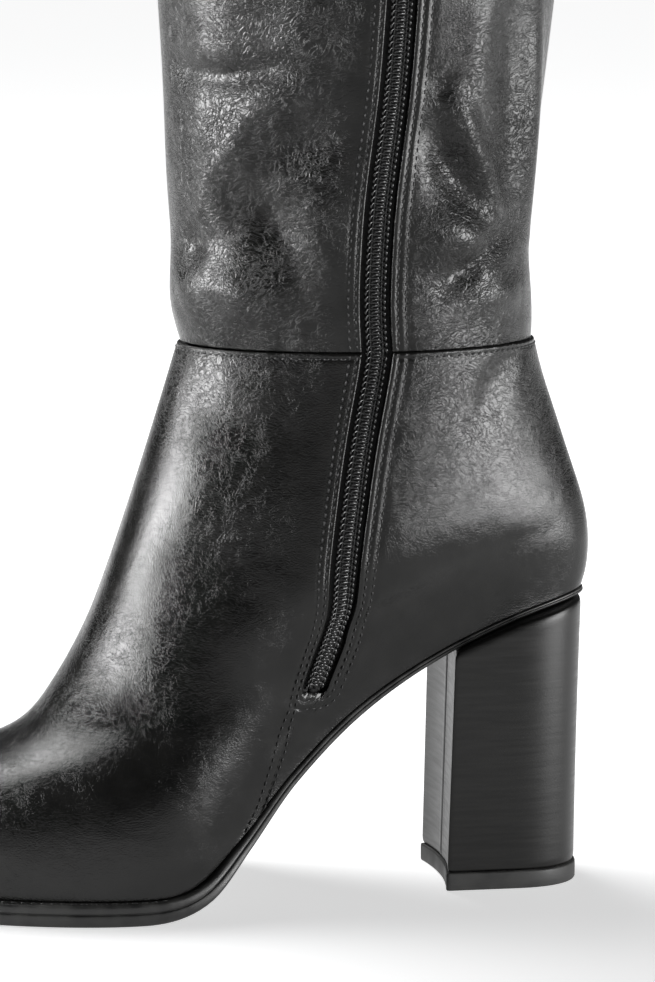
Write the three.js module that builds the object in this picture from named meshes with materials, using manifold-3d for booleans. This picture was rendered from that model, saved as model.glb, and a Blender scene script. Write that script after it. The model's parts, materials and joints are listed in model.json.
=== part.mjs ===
// A right knee-high boot with a covered block heel and a zip up its inner side.
// Millimetres, +Z up. The toe points to -X and the inner side of the foot faces -Y.
// The origin is the centre of the heel tip's ground face.

import * as THREE from 'three';
import { mergeVertices } from 'three/addons/utils/BufferGeometryUtils.js';
import Module from 'manifold-3d';

const wasm = await Module();
wasm.setup();

// Last and shaft sizes
const lastLength = 228; // feather line, measured level, from the toe tip to the back of the heel
const ballWidth = 88; // feather line across the ball
const heelHeight = 86.6; // floor to the outsole's top at the back of the seat
const toeSpring = 5; // how far the toe tip is lifted
const ankleRise = 74; // heel seat to the ankle seam
const ankleDepth = 104.4; // front to back at the ankle seam
const ankleWidth = 72; // side to side at the ankle seam
const shaftLength = 314; // ankle seam to the collar's front
const calfDepth = 129;
const calfWidth = 110;
const collarDip = 9; // how much lower the collar is at the back
const heelOverhang = 2; // back of the heel seat beyond the back of the heel tip
const ankleSetBack = 15; // back of the ankle seam, forward of the back of the seat

// Walls and clearances
const upperWall = 2.2; // leather and lining together
const pieceGap = 0.3;
const seamInset = 0.8; // the shaft's skin lies this much under the foot's skin at the ankle seam
const seamBlend = 6; // height over which the shaft comes out to its own shape

// Sole
const soleThickness = 6.6;
const waistThickness = 2.9;
const seatThickness = 1.7;
const soleEdge = 3.2; // how far the sole stands out around the forepart
const grooveDepth = 0.5;
const edgeRound = 0.8;

// Heel and heel tip
const tipLength = 42;
const tipWidth = 42;
const tipHeight = 5.2;
const breastHollow = 2.1; // how deeply the heel's front face is hollowed
const breastLean = 2.6; // how far the heel's front face leans back at its top
const heelSpread = 2.4; // how much wider each side of the heel is at its top
const tipLip = 0.4; // how far the tip stands out around the heel

// Insole
const insoleThickness = 2.2;
const insoleGap = 0.45;

// Zip
const zipSlotWidth = 9.6;
const zipStart = 0.145; // share of the height from the feather line to the ankle seam
const zipEndRound = 2.5; // length of the slot's rounded lower end
const tapeWidth = 12;
const tapeThickness = 0.7;
const tapeGap = 0.6;
const tapeMiddleGap = 0.5; // half of the gap between the two tapes
const tapeTail = 0.03; // share of the height by which the tapes run on below the slot
const chainWidth = 6.3;
const chainHeight = 2.1;
const chainGap = 0.4; // between the teeth and the tapes
const chainTop = 0.965; // share of the shaft's height
const stopLength = 3;
const stopWidth = 2.2;
const stopHeight = 1.6;

// Zip slider and its pull tab
const sliderLength = 12;
const sliderWidth = 9;
const sliderPlate = 1.2;
const neckWidth = 2;
const neckLength = 3;
const bailWidth = 2;
const bailLength = 8.4;
const bailBar = 1.2;
const bailOpening = 1.9;
const pullLength = 27;
const pullWidth = 6.4;
const pullThickness = 1.2;
const pullPin = 1.2;
const pullWindowWidth = 2.9;
const pullWindowLength = 8.2;

// Mesh fineness
const turnSteps = 60;
const shaftTurnSteps = 48;
const footSteps = 16;
const shaftSteps = 18;
const heelSteps = 7;

// Where the main places are, worked out from the sizes above
const footBed = soleThickness + pieceGap;
const seatZ = heelHeight + pieceGap;
const seamZ = seatZ + ankleRise;
const seatBackX = tipLength / 2 + heelOverhang;
const toeX = seatBackX - lastLength;
const ankleBackX = seatBackX - ankleSetBack;
const ankleFrontX = ankleBackX - ankleDepth;

// The feather line from the toe tip to the back of the heel. along is a share of the last's length,
// rise a share of the seat's height above the tread, and inner and outer are shares of the ball width.
const featherRows = [
  { along: 0.0, rise: 0.0, spring: 1.0, inner: 0.25, outer: 0.25, edge: 1.0, waist: 0, seat: 0 },
  { along: 0.08, rise: 0.0, spring: 0.46, inner: 0.365, outer: 0.352, edge: 1.0, waist: 0, seat: 0 },
  { along: 0.19, rise: 0.0, spring: 0.0, inner: 0.48, outer: 0.43, edge: 1.0, waist: 0, seat: 0 },
  { along: 0.31, rise: 0.0, spring: 0.0, inner: 0.54, outer: 0.466, edge: 1.0, waist: 0, seat: 0 },
  { along: 0.4, rise: 0.0, spring: 0.0, inner: 0.538, outer: 0.477, edge: 0.95, waist: 0, seat: 0 },
  { along: 0.47, rise: 0.032, spring: 0.0, inner: 0.489, outer: 0.46, edge: 0.7, waist: 0.3, seat: 0 },
  { along: 0.53, rise: 0.175, spring: 0.0, inner: 0.409, outer: 0.432, edge: 0.4, waist: 0.75, seat: 0 },
  { along: 0.6, rise: 0.392, spring: 0.0, inner: 0.335, outer: 0.398, edge: 0.2, waist: 1, seat: 0 },
  { along: 0.68, rise: 0.596, spring: 0.0, inner: 0.284, outer: 0.358, edge: 0.1, waist: 0.85, seat: 0.15 },
  { along: 0.78, rise: 0.776, spring: 0.0, inner: 0.261, outer: 0.318, edge: 0.07, waist: 0.4, seat: 0.6 },
  { along: 0.89, rise: 0.913, spring: 0.0, inner: 0.273, outer: 0.301, edge: 0.07, waist: 0, seat: 1 },
  { along: 1.0, rise: 1.0, spring: 0.0, inner: 0.278, outer: 0.295, edge: 0.07, waist: 0, seat: 1 },
];

// Rings of the foot part from the feather line (up 0) to the ankle seam (up 1). Each share says how far
// the ring's front or back has gone from its place on the feather line to its place at the ankle seam.
// The blunt columns say how round the ring's ends are: 1 is an oval and less is blunter.
const footRows = [
  {
    up: 0, frontAlong: 0, frontRise: 0, backAlong: 0, backRise: 0,
    frontBlunt: 0.86, backBlunt: 0.86,
  },
  {
    up: 0.05, frontAlong: -0.027, frontRise: 0.04, backAlong: -0.08, backRise: 0.054,
    frontBlunt: 0.86, backBlunt: 0.88,
  },
  {
    up: 0.12, frontAlong: 0, frontRise: 0.104, backAlong: -0.13, backRise: 0.135,
    frontBlunt: 0.84, backBlunt: 0.9,
  },
  {
    up: 0.2, frontAlong: 0.15, frontRise: 0.151, backAlong: -0.13, backRise: 0.203,
    frontBlunt: 0.8, backBlunt: 0.92,
  },
  {
    up: 0.28, frontAlong: 0.372, frontRise: 0.19, backAlong: -0.09, backRise: 0.277,
    frontBlunt: 0.75, backBlunt: 0.94,
  },
  {
    up: 0.36, frontAlong: 0.538, frontRise: 0.235, backAlong: 0, backRise: 0.358,
    frontBlunt: 0.71, backBlunt: 0.96,
  },
  {
    up: 0.46, frontAlong: 0.645, frontRise: 0.314, backAlong: 0.16, backRise: 0.459,
    frontBlunt: 0.71, backBlunt: 0.98,
  },
  {
    up: 0.58, frontAlong: 0.735, frontRise: 0.43, backAlong: 0.375, backRise: 0.588,
    frontBlunt: 0.75, backBlunt: 0.99,
  },
  {
    up: 0.72, frontAlong: 0.822, frontRise: 0.591, backAlong: 0.61, backRise: 0.73,
    frontBlunt: 0.83, backBlunt: 1,
  },
  {
    up: 0.86, frontAlong: 0.912, frontRise: 0.792, backAlong: 0.83, backRise: 0.865,
    frontBlunt: 0.93, backBlunt: 1,
  },
  {
    up: 1, frontAlong: 1, frontRise: 1, backAlong: 1, backRise: 1,
    frontBlunt: 1, backBlunt: 1,
  },
];

// Half widths of the ring at mid height, as shares of the ball width, from its front to its back.
const instepRows = [
  { along: 0.0, inner: 0.38, outer: 0.38 },
  { along: 0.15, inner: 0.432, outer: 0.42 },
  { along: 0.35, inner: 0.449, outer: 0.438 },
  { along: 0.55, inner: 0.42, outer: 0.432 },
  { along: 0.75, inner: 0.381, outer: 0.386 },
  { along: 0.9, inner: 0.352, outer: 0.352 },
  { along: 1.0, inner: 0.341, outer: 0.341 },
];

// Half widths of the ring at the ankle seam, as shares of the ankle's width.
const ankleRows = [
  { along: 0.0, half: 0.46 },
  { along: 0.25, half: 0.487 },
  { along: 0.5, half: 0.5 },
  { along: 0.75, half: 0.493 },
  { along: 1.0, half: 0.472 },
];

// The shaft from the ankle seam (up 0) to the collar (up 1). front and back are how far its edges have
// moved out, as shares of the growth from ankle depth to calf depth, and girth is the same for its width.
const shaftRows = [
  { up: 0.0, front: 0.0, back: 0.0, girth: 0.0 },
  { up: 0.04, front: 0.079, back: -0.03, girth: 0.03 },
  { up: 0.09, front: 0.075, back: -0.075, girth: 0.08 },
  { up: 0.13, front: 0.103, back: -0.055, girth: 0.13 },
  { up: 0.226, front: 0.15, back: 0.083, girth: 0.29 },
  { up: 0.318, front: 0.214, back: 0.22, girth: 0.47 },
  { up: 0.443, front: 0.317, back: 0.405, girth: 0.73 },
  { up: 0.586, front: 0.397, back: 0.55, girth: 0.94 },
  { up: 0.761, front: 0.417, back: 0.583, girth: 1.0 },
  { up: 1.0, front: 0.377, back: 0.52, girth: 0.98 },
];

// Soft folds of the slack shaft, each a trough or a ridge from one place to another. up is a share of the
// shaft's length and turn a share of a full turn from the front, round by the inner side. wide is a share
// of the ankle's depth, and deep is too: below zero it is a ridge.
const shaftFolds = [
  { up: 0.245, turn: 0.222, toUp: 0.165, toTurn: 0.13, wide: 0.085, deep: 0.03 },
  { up: 0.235, turn: 0.145, toUp: 0.19, toTurn: 0.105, wide: 0.09, deep: -0.022 },
  { up: 0.235, turn: 0.345, toUp: 0.12, toTurn: 0.425, wide: 0.075, deep: 0.026 },
  { up: 0.17, turn: 0.31, toUp: 0.09, toTurn: 0.345, wide: 0.1, deep: -0.02 },
  { up: 0.075, turn: 0.06, toUp: 0.055, toTurn: 0.16, wide: 0.08, deep: 0.014 },
  { up: 0.3, turn: 0.62, toUp: 0.2, toTurn: 0.72, wide: 0.09, deep: 0.024 },
  { up: 0.17, turn: 0.8, toUp: 0.11, toTurn: 0.92, wide: 0.09, deep: 0.022 },
];
const foldFreeZone = 0.2; // share of the ankle's depth beside the zip that stays unfolded

const lowerBulge = 0.018; // share of the ball width by which the foot part bulges above the feather line
const columnShift = 0.3; // how far the lines of equal turn lean over the arch
const archFade = 0.52; // share of the foot part's height over which its rings follow the feather line

// The zip's centre line, as a turn in radians at shares of the height of the foot part and of the shaft.
const zipFootRows = [
  { up: 0.0, turn: 1.8 },
  { up: 0.08, turn: 1.838 },
  { up: 0.15, turn: 1.861 },
  { up: 0.2, turn: 1.868 },
  { up: 0.35, turn: 1.802 },
  { up: 0.54, turn: 1.734 },
  { up: 0.71, turn: 1.665 },
  { up: 0.86, turn: 1.6 },
  { up: 1.0, turn: 1.573 },
];
const zipShaftRows = [
  { up: 0.0, turn: 1.573 },
  { up: 0.11, turn: 1.606 },
  { up: 0.22, turn: 1.65 },
  { up: 0.32, turn: 1.665 },
  { up: 0.6, turn: 1.68 },
  { up: 1.0, turn: 1.69 },
];

/** Slopes at a table's rows for a curve that never overshoots them. */
function steadySlopes(rises) {
  return [rises[0], ...rises.slice(1).map((after, k) => {
    const before = rises[k];
    if (before * after <= 0) return 0;
    const limit = 3 * Math.min(Math.abs(before), Math.abs(after));
    return Math.sign(after) * Math.min(Math.abs(before + after) / 2, limit);
  }), rises[rises.length - 1]];
}

/** Slopes at a table's rows for a curve whose bend changes evenly, as a drawn spline's does. */
function evenSlopes(rises, widths) {
  const last = rises.length;
  const upper = [0.5];
  const found = [1.5 * rises[0]];
  for (let k = 1; k <= last; k += 1) {
    const before = 1 / widths[k - 1];
    const after = k < last ? 1 / widths[k] : 0;
    const sum = 3 * (rises[k - 1] * before + (k < last ? rises[k] * after : 0));
    const pivot = 2 * (before + after) - before * upper[k - 1];
    upper.push(after / pivot);
    found.push((sum - before * found[k - 1]) / pivot);
  }
  for (let k = last - 1; k >= 0; k -= 1) found[k] -= upper[k] * found[k + 1];
  return found;
}

/** Curves through a table's rows: for each of its columns, a function of the column named by key. */
function curvesThrough(rows, key, slopesFor) {
  const places = rows.map((row) => row[key]);
  const widths = places.slice(1).map((place, k) => place - places[k]);
  const curves = {};
  for (const column of Object.keys(rows[0])) {
    const values = rows.map((row) => row[column]);
    const slopes = slopesFor(widths.map((width, k) => (values[k + 1] - values[k]) / width), widths);
    curves[column] = (t) => {
      let k = 0;
      while (k < widths.length - 1 && t > places[k + 1]) k += 1;
      const u = (t - places[k]) / widths[k];
      const v = 1 - u;
      const start = values[k] * (1 + 2 * u) + slopes[k] * widths[k] * u;
      const end = values[k + 1] * (1 + 2 * v) - slopes[k + 1] * widths[k] * v;
      return start * v * v + end * u * u;
    };
  }
  return curves;
}

const featherLine = curvesThrough(featherRows, 'along', steadySlopes);
const featherWidth = curvesThrough(featherRows, 'along', evenSlopes);
const footRing = curvesThrough(footRows, 'up', evenSlopes);
const instepWidth = curvesThrough(instepRows, 'along', evenSlopes);
const ankleHalf = curvesThrough(ankleRows, 'along', evenSlopes);
const shaftRing = curvesThrough(shaftRows, 'up', evenSlopes);
const zipOnFoot = curvesThrough(zipFootRows, 'up', evenSlopes);
const zipOnShaft = curvesThrough(zipShaftRows, 'up', evenSlopes);

/** Eases from 0 to 1 as t goes from 0 to 1. */
function ease(t) {
  const u = Math.min(Math.max(t, 0), 1);
  return u * u * (3 - 2 * u);
}

/** The share of the feather line's length at which it passes x. */
function featherShare(x) {
  return Math.min(Math.max((x - toeX) / lastLength, 0), 1);
}

/** Height of the feather line above the floor at a share of its length. */
function featherHeight(along) {
  return footBed + featherLine.rise(along) * (seatZ - footBed) + featherLine.spring(along) * toeSpring;
}

/** A point on the outside of the foot part. up runs from the feather line (0) to the ankle seam (1), and
 *  turn from the front (0) by the inner side to the back (pi) and on by the outer side. Over the arch the
 *  lines of equal turn lean a little to the heel, as the columns of the mesh are to stand upright there. */
function footPoint(up, turn) {
  const place = (1 - Math.cos(turn)) / 2;
  const moved = columnShift * ease(up / 0.36) * (1 - ease((up - 0.5) / 0.5));
  const along = place - moved * place * (1 - place);
  const frontX = toeX + footRing.frontAlong(up) * (ankleFrontX - toeX);
  const backX = seatBackX + footRing.backAlong(up) * (ankleBackX - seatBackX);
  const frontZ = featherHeight(0) + footRing.frontRise(up) * (seamZ - featherHeight(0));
  const backZ = seatZ + footRing.backRise(up) * (seamZ - seatZ);
  const x = frontX + (backX - frontX) * along;
  const onFeather = featherShare(x);
  const frontFeather = featherHeight(featherShare(frontX));
  const backFeather = featherHeight(featherShare(backX));
  const bow = featherHeight(onFeather) - frontFeather - (backFeather - frontFeather) * along;
  const z = frontZ + (backZ - frontZ) * along + bow * (1 - ease(up / archFade));
  const side = Math.sin(turn) > 0 ? 'inner' : 'outer';
  const low = featherWidth[side](onFeather) * ballWidth;
  const middle = instepWidth[side](along) * ballWidth;
  const high = ankleHalf.half(along) * ankleWidth;
  const toMiddle = ease(up / 0.55);
  const toHigh = ease((up - 0.45) / 0.55);
  const bulge = lowerBulge * ballWidth * Math.sin(Math.PI * Math.min(Math.max(up / 0.35, 0), 1));
  const half = (low * (1 - toMiddle) + middle * toMiddle) * (1 - toHigh) + high * toHigh + bulge;
  const blunt = footRing.frontBlunt(up) * (1 - along) + footRing.backBlunt(up) * along;
  const across = half * (2 * Math.sqrt(Math.max(along * (1 - along), 0))) ** blunt;
  return new THREE.Vector3(x, side === 'inner' ? -across : across, z);
}

/** A point on the outside of the shaft without its folds. up runs from the ankle seam to the collar. */
function smoothShaftPoint(up, turn) {
  const along = (1 - Math.cos(turn)) / 2;
  const growth = calfDepth - ankleDepth;
  const frontX = ankleFrontX - shaftRing.front(up) * growth;
  const backX = ankleBackX + shaftRing.back(up) * growth;
  const waist = ankleHalf.half(along) * ankleWidth;
  const across = (waist + shaftRing.girth(up) * (calfWidth / 2 - waist)) * Math.sin(turn);
  const z = seamZ + up * shaftLength - up ** 3 * collarDip * along;
  return new THREE.Vector3(frontX + (backX - frontX) * along, -across, z);
}

/** The outward normal of a surface given as a function of up and turn. */
function normalOf(surface, up, turn) {
  const step = 1e-3;
  const around = surface(up, turn + step).sub(surface(up, turn - step));
  const upward = surface(up + step, turn).sub(surface(up - step, turn));
  return around.cross(upward).normalize();
}

/** How far the shaft's folds push its skin in at a place; ridges give a value below zero. */
function foldDepth(up, turn) {
  const roundLength = (Math.PI * (ankleDepth + ankleWidth)) / 2;
  const place = new THREE.Vector2((turn / (2 * Math.PI)) * roundLength, up * shaftLength);
  let total = 0;
  for (const fold of shaftFolds) {
    const from = new THREE.Vector2(fold.turn * roundLength, fold.up * shaftLength);
    const to = new THREE.Vector2(fold.toTurn * roundLength, fold.toUp * shaftLength);
    const way = to.clone().sub(from);
    const t = Math.min(Math.max(place.clone().sub(from).dot(way) / way.lengthSq(), 0), 1);
    const distance = place.distanceTo(from.addScaledVector(way, t));
    total += fold.deep * ankleDepth * Math.exp(-((distance / (fold.wide * ankleDepth)) ** 2));
  }
  const zipPlace = (zipTurn(1 + up) / (2 * Math.PI)) * roundLength;
  const free = 1 - Math.exp(-(((place.x - zipPlace) / (foldFreeZone * ankleDepth)) ** 4));
  return total * free;
}

/** A point on the outside of the shaft, folds and the tuck at the ankle seam included. */
function shaftPoint(up, turn) {
  const tuck = seamInset * Math.exp(-(up * shaftLength) / seamBlend);
  const point = smoothShaftPoint(up, turn);
  return point.addScaledVector(normalOf(smoothShaftPoint, up, turn), -(tuck + foldDepth(up, turn)));
}

/** Turn of the zip's centre line. height runs from 0 to 1 up the foot part and from 1 to 2 up the shaft. */
function zipTurn(height) {
  return height <= 1 ? zipOnFoot.turn(height) : zipOnShaft.turn(height - 1);
}

/** How the skin runs at a place: its ways round and up for a unit of turn and of height. */
function skinWays(skin, height, turn) {
  const step = 1e-3;
  return {
    round: skin(height, turn + step).sub(skin(height, turn - step)).divideScalar(2 * step),
    upward: skin(height + step, turn).sub(skin(height - step, turn)).divideScalar(2 * step),
  };
}

/** A point beside the zip: across mm over the skin, square to its centre line, and depth mm under the skin. */
function zipPoint(height, across, depth) {
  const onFoot = height < 1;
  const skin = (up, turn) => (onFoot ? footPoint(up, turn) : smoothShaftPoint(up - 1, turn));
  const place = { up: height, turn: zipTurn(height) };
  const step = 1e-3;
  const drift = (zipTurn(height + step) - zipTurn(height - step)) / (2 * step);
  const start = skinWays(skin, place.up, place.turn);
  const line = start.upward.clone().addScaledVector(start.round, drift);
  const side = line.cross(start.round.clone().cross(start.upward)).normalize();
  const strides = Math.ceil(Math.abs(across) / 2);
  for (let k = 0; k < strides; k += 1) {
    const { round, upward } = skinWays(skin, place.up, place.turn);
    const a = round.dot(round);
    const b = round.dot(upward);
    const c = upward.dot(upward);
    const stride = across / strides / (a * c - b * b);
    const sideRound = side.dot(round);
    const sideUp = side.dot(upward);
    place.turn += stride * (sideRound * c - sideUp * b);
    place.up += stride * (sideUp * a - sideRound * b);
  }
  return skin(place.up, place.turn).addScaledVector(normalOf(skin, place.up, place.turn), -depth);
}

/** How deep under the skin the tapes' outer face lies: inside the wall, and inside the tuck at the seam. */
function tapeDepth(height) {
  const fromSeam = height < 1 ? (1 - height) * ankleRise : (height - 1) * shaftLength;
  return upperWall + tapeGap + seamInset * Math.exp(-((fromSeam / (3 * seamBlend)) ** 2));
}

/** A geometry from points and triangles, with its faces turned outwards. */
function toGeometry(points, triangles) {
  let volume = 0;
  for (const [a, b, c] of triangles) {
    volume += points[a].dot(new THREE.Vector3().crossVectors(points[b], points[c]));
  }
  const index = volume > 0 ? triangles : triangles.map(([a, b, c]) => [a, c, b]);
  const geometry = new THREE.BufferGeometry();
  geometry.setAttribute('position', new THREE.Float32BufferAttribute(points.flatMap((p) => p.toArray()), 3));
  geometry.setIndex(index.flat());
  return geometry;
}

/** Joins two closed rings of equally many points by triangles, cutting each quad along its shorter way. */
function band(points, from, to, count, flip) {
  const triangles = [];
  for (let j = 0; j < count; j += 1) {
    const next = (j + 1) % count;
    const quad = [from + j, from + next, to + next, to + j];
    const [a, b, c, d] = flip ? quad.reverse() : quad;
    if (points[a].distanceTo(points[c]) < points[b].distanceTo(points[d])) {
      triangles.push([a, b, c], [a, c, d]);
    } else {
      triangles.push([b, c, d], [b, d, a]);
    }
  }
  return triangles;
}

/** A hollow solid between two stacks of rings, open through its middle at both ends. */
function hollowSolid(outerRings, innerRings) {
  const count = outerRings[0].length;
  const points = [...outerRings, ...innerRings].flat();
  const levels = outerRings.length;
  const start = (ring) => ring * count;
  const triangles = [];
  for (let i = 0; i < levels - 1; i += 1) {
    triangles.push(...band(points, start(i), start(i + 1), count, false));
    triangles.push(...band(points, start(levels + i), start(levels + i + 1), count, true));
  }
  triangles.push(...band(points, start(0), start(levels), count, true));
  triangles.push(...band(points, start(levels - 1), start(2 * levels - 1), count, false));
  return toGeometry(points, triangles);
}

/** A solid through a stack of rings. Its ends are closed from point j to its mirror across the ring. */
function stackedSolid(rings) {
  const count = rings[0].length;
  const points = rings.flat();
  const triangles = [];
  for (let i = 0; i < rings.length - 1; i += 1) {
    triangles.push(...band(points, i * count, (i + 1) * count, count, false));
  }
  const close = (start, flip) => {
    for (let j = 0; j < count / 2; j += 1) {
      const corners = [j, j + 1, count - j - 1, (count - j) % count];
      const [a, b, c, d] = flip ? corners.reverse() : corners;
      for (const face of [[a, b, c], [a, c, d]]) {
        if (new Set(face).size === 3) triangles.push(face.map((k) => start + k));
      }
    }
  };
  close(0, true);
  close((rings.length - 1) * count, false);
  return toGeometry(points, triangles);
}

/** A solid lofted through sections of equally many points, with flat ends. */
function loftedSolid(sections) {
  const count = sections[0].length;
  const points = sections.flat();
  const triangles = [];
  for (let i = 0; i < sections.length - 1; i += 1) {
    triangles.push(...band(points, i * count, (i + 1) * count, count, false));
  }
  const end = (sections.length - 1) * count;
  for (let j = 1; j < count - 1; j += 1) {
    triangles.push([0, j + 1, j], [end, end + j, end + j + 1]);
  }
  return toGeometry(points, triangles);
}

/** A solid for joining and cutting, from a geometry. */
function toSolid(geometry) {
  const bare = geometry.clone();
  bare.deleteAttribute('normal');
  bare.deleteAttribute('uv');
  const merged = mergeVertices(bare, 1e-4);
  const mesh = new wasm.Mesh({
    numProp: 3,
    vertProperties: new Float32Array(merged.attributes.position.array),
    triVerts: new Uint32Array(merged.index.array),
  });
  return new wasm.Manifold(mesh);
}

/** A geometry from a joined or cut solid. */
function fromSolid(solid) {
  const mesh = solid.getMesh();
  const geometry = new THREE.BufferGeometry();
  geometry.setAttribute('position', new THREE.BufferAttribute(mesh.vertProperties, 3));
  geometry.setIndex(new THREE.BufferAttribute(mesh.triVerts, 1));
  return geometry;
}

/** Evenly spaced numbers from low to high, both included. */
function spread(low, high, steps) {
  return Array.from({ length: steps + 1 }, (_, i) => low + ((high - low) * i) / steps);
}

/** One ring of points of a surface at height up, depth mm under it. */
function ringOf(surface, up, depth, steps) {
  return Array.from({ length: steps }, (_, j) => {
    const turn = (2 * Math.PI * j) / steps;
    const normal = normalOf(surface, up, turn);
    if (up === 0) normal.setZ(0).normalize();
    return surface(up, turn).addScaledVector(normal, -depth);
  });
}

const footLevels = spread(0, 1, footSteps).map((t) => 0.55 * t + 0.45 * t * t);
const shaftLevels = spread(0, 1, shaftSteps).map((t) => 0.5 * t + 0.5 * t * t);

/** The cutter for the zip's slot, from its rounded lower end to above the collar. */
function makeSlotCutter() {
  const reach = 4 * upperWall;
  const startZ = zipPoint(zipStart, 0, 0).z;
  const heights = [
    ...spread(zipStart, zipStart + 0.035, 4),
    ...footLevels.filter((up) => up > zipStart + 0.045),
    ...shaftLevels.slice(1).map((up) => 1 + up),
    2.02,
  ];
  const sections = heights.map((height) => {
    const fromEnd = Math.min((zipPoint(height, 0, 0).z - startZ) / zipEndRound, 1);
    const half = (zipSlotWidth / 2) * Math.sqrt(Math.max(1 - (1 - fromEnd) ** 2, 0.36));
    const corners = [[-half, -reach], [half, -reach], [half, reach], [-half, reach]];
    const onSkin = zipPoint(height, 0, 0);
    const across = zipPoint(height, 1, 0).sub(onSkin).normalize();
    const inward = zipPoint(height, 0, 1).sub(onSkin);
    return corners.map(([side, depth]) => (
      onSkin.clone().addScaledVector(across, side).addScaledVector(inward, depth)
    ));
  });
  return loftedSolid(sections);
}

/** The foot part of the upper: one hollow wall, open at the ankle and underneath. */
function makeFootPart(slotCutter) {
  const top = 1 - pieceGap / 2 / ankleRise;
  const levels = footLevels.map((up) => Math.min(up, top));
  const outer = levels.map((up) => ringOf(footPoint, up, 0, turnSteps));
  const inner = levels.map((up) => ringOf(footPoint, up, upperWall, turnSteps));
  return fromSolid(toSolid(hollowSolid(outer, inner)).subtract(slotCutter));
}

/** The shaft: one hollow wall from the ankle seam to the collar. */
function makeShaft(slotCutter) {
  const bottom = pieceGap / 2 / shaftLength;
  const levels = shaftLevels.map((up) => Math.max(up, bottom));
  const outer = levels.map((up) => ringOf(shaftPoint, up, 0, shaftTurnSteps));
  const inner = levels.map((up) => ringOf(shaftPoint, up, upperWall, shaftTurnSteps));
  return fromSolid(toSolid(hollowSolid(outer, inner)).subtract(slotCutter));
}

/** How thick the sole is at a share of the feather line. */
function soleThicknessAt(along) {
  const waist = featherLine.waist(along);
  const seat = featherLine.seat(along);
  return soleThickness * (1 - waist - seat) + waistThickness * waist + seatThickness * seat;
}

/** The sole's underside seen from the side: x and z at a share of the feather line. */
function soleUnderside(along) {
  return soleLine(along, 1);
}

/** A line through the sole seen from the side, drop being the share of the way to its underside. */
function soleLine(along, drop) {
  const step = 1e-3;
  const slope = new THREE.Vector2(
    2 * step * lastLength,
    featherHeight(along + step) - featherHeight(along - step),
  ).normalize();
  const down = soleThicknessAt(along) * drop;
  return {
    x: toeX + along * lastLength + slope.y * down,
    z: featherHeight(along) - pieceGap - slope.x * down,
  };
}

/** The outsole: a full-length plate with a rounded edge and a groove round its side. */
function makeOutsole() {
  const profile = [
    { out: -edgeRound, drop: 0 },
    { out: 0, drop: 0.12 },
    { out: 0, drop: 0.38 },
    { out: -grooveDepth, drop: 0.42 },
    { out: -grooveDepth, drop: 0.46 },
    { out: 0, drop: 0.5 },
    { out: -0.2, drop: 0.88 },
    { out: -edgeRound, drop: 1 },
  ];
  const rings = profile.map(({ out, drop }) => (
    Array.from({ length: turnSteps }, (_, j) => {
      const turn = (2 * Math.PI * j) / turnSteps;
      const along = (1 - Math.cos(turn)) / 2;
      const edge = featherLine.edge(along) * soleEdge;
      const normal = normalOf(footPoint, 0, turn).setZ(0).normalize();
      const point = footPoint(0, turn).addScaledVector(normal, edge + out);
      const line = soleLine(along, drop);
      const top = soleLine(along, 0);
      return new THREE.Vector3(point.x + line.x - top.x, point.y, line.z);
    })
  ));
  return stackedSolid(rings);
}

/** The insole, lying inside the foot part on the outsole. */
function makeInsole() {
  const rings = [0, insoleThickness].map((rise) => (
    ringOf(footPoint, 0, upperWall + insoleGap, turnSteps).map((p) => p.clone().setZ(p.z + rise))
  ));
  return stackedSolid(rings);
}

/** The heel's outline at a height: hollowed in front, straight at the sides and round at the back. */
function heelOutline(share, inset, z) {
  const front = -tipLength / 2 + inset + breastLean * share;
  const back = tipLength / 2 - inset + heelOverhang * share ** 1.6;
  const half = tipWidth / 2 - inset + heelSpread * share;
  const middle = back - half * 1.05;
  const points = [];
  for (const t of spread(1, -1, 8)) {
    points.push(new THREE.Vector3(front + breastHollow * (1 - t * t), half * t, z));
  }
  for (const angle of spread(-Math.PI / 2, Math.PI / 2, 20)) {
    const across = Math.sign(Math.sin(angle)) * Math.abs(Math.sin(angle)) ** 0.8;
    const reach = Math.cos(angle) ** 0.8;
    points.push(new THREE.Vector3(middle + (back - middle) * reach, half * across, z));
  }
  return points;
}

/** The heel block, shaped under the outsole's seat. */
function makeHeelBlock() {
  const foot = tipHeight + pieceGap;
  const top = heelHeight + 10;
  const sections = spread(0, 1, heelSteps).map((share) => (
    heelOutline(share, tipLip, foot + (top - foot) * share)
  ));
  const seat = spread(0.68, 1, 14).map((along) => soleUnderside(along));
  const [before, last] = seat.slice(-2);
  const reach = tipLength / 4;
  seat.push({ x: last.x + reach, z: last.z + (reach * (last.z - before.z)) / (last.x - before.x) });
  const shape = new THREE.Shape(seat.map(({ x, z }) => new THREE.Vector2(x, z - pieceGap)));
  shape.lineTo(last.x + reach, 2 * top);
  shape.lineTo(seat[0].x, 2 * top);
  const cutter = new THREE.ExtrudeGeometry(shape, { depth: 2 * tipWidth, bevelEnabled: false });
  cutter.rotateX(Math.PI / 2).translate(0, tipWidth, 0);
  return fromSolid(toSolid(loftedSolid(sections)).subtract(toSolid(cutter)));
}

/** The heel tip under the block. */
function makeHeelTip() {
  return loftedSolid([heelOutline(0, 0, 0), heelOutline(0, 0, tipHeight)]);
}

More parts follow.
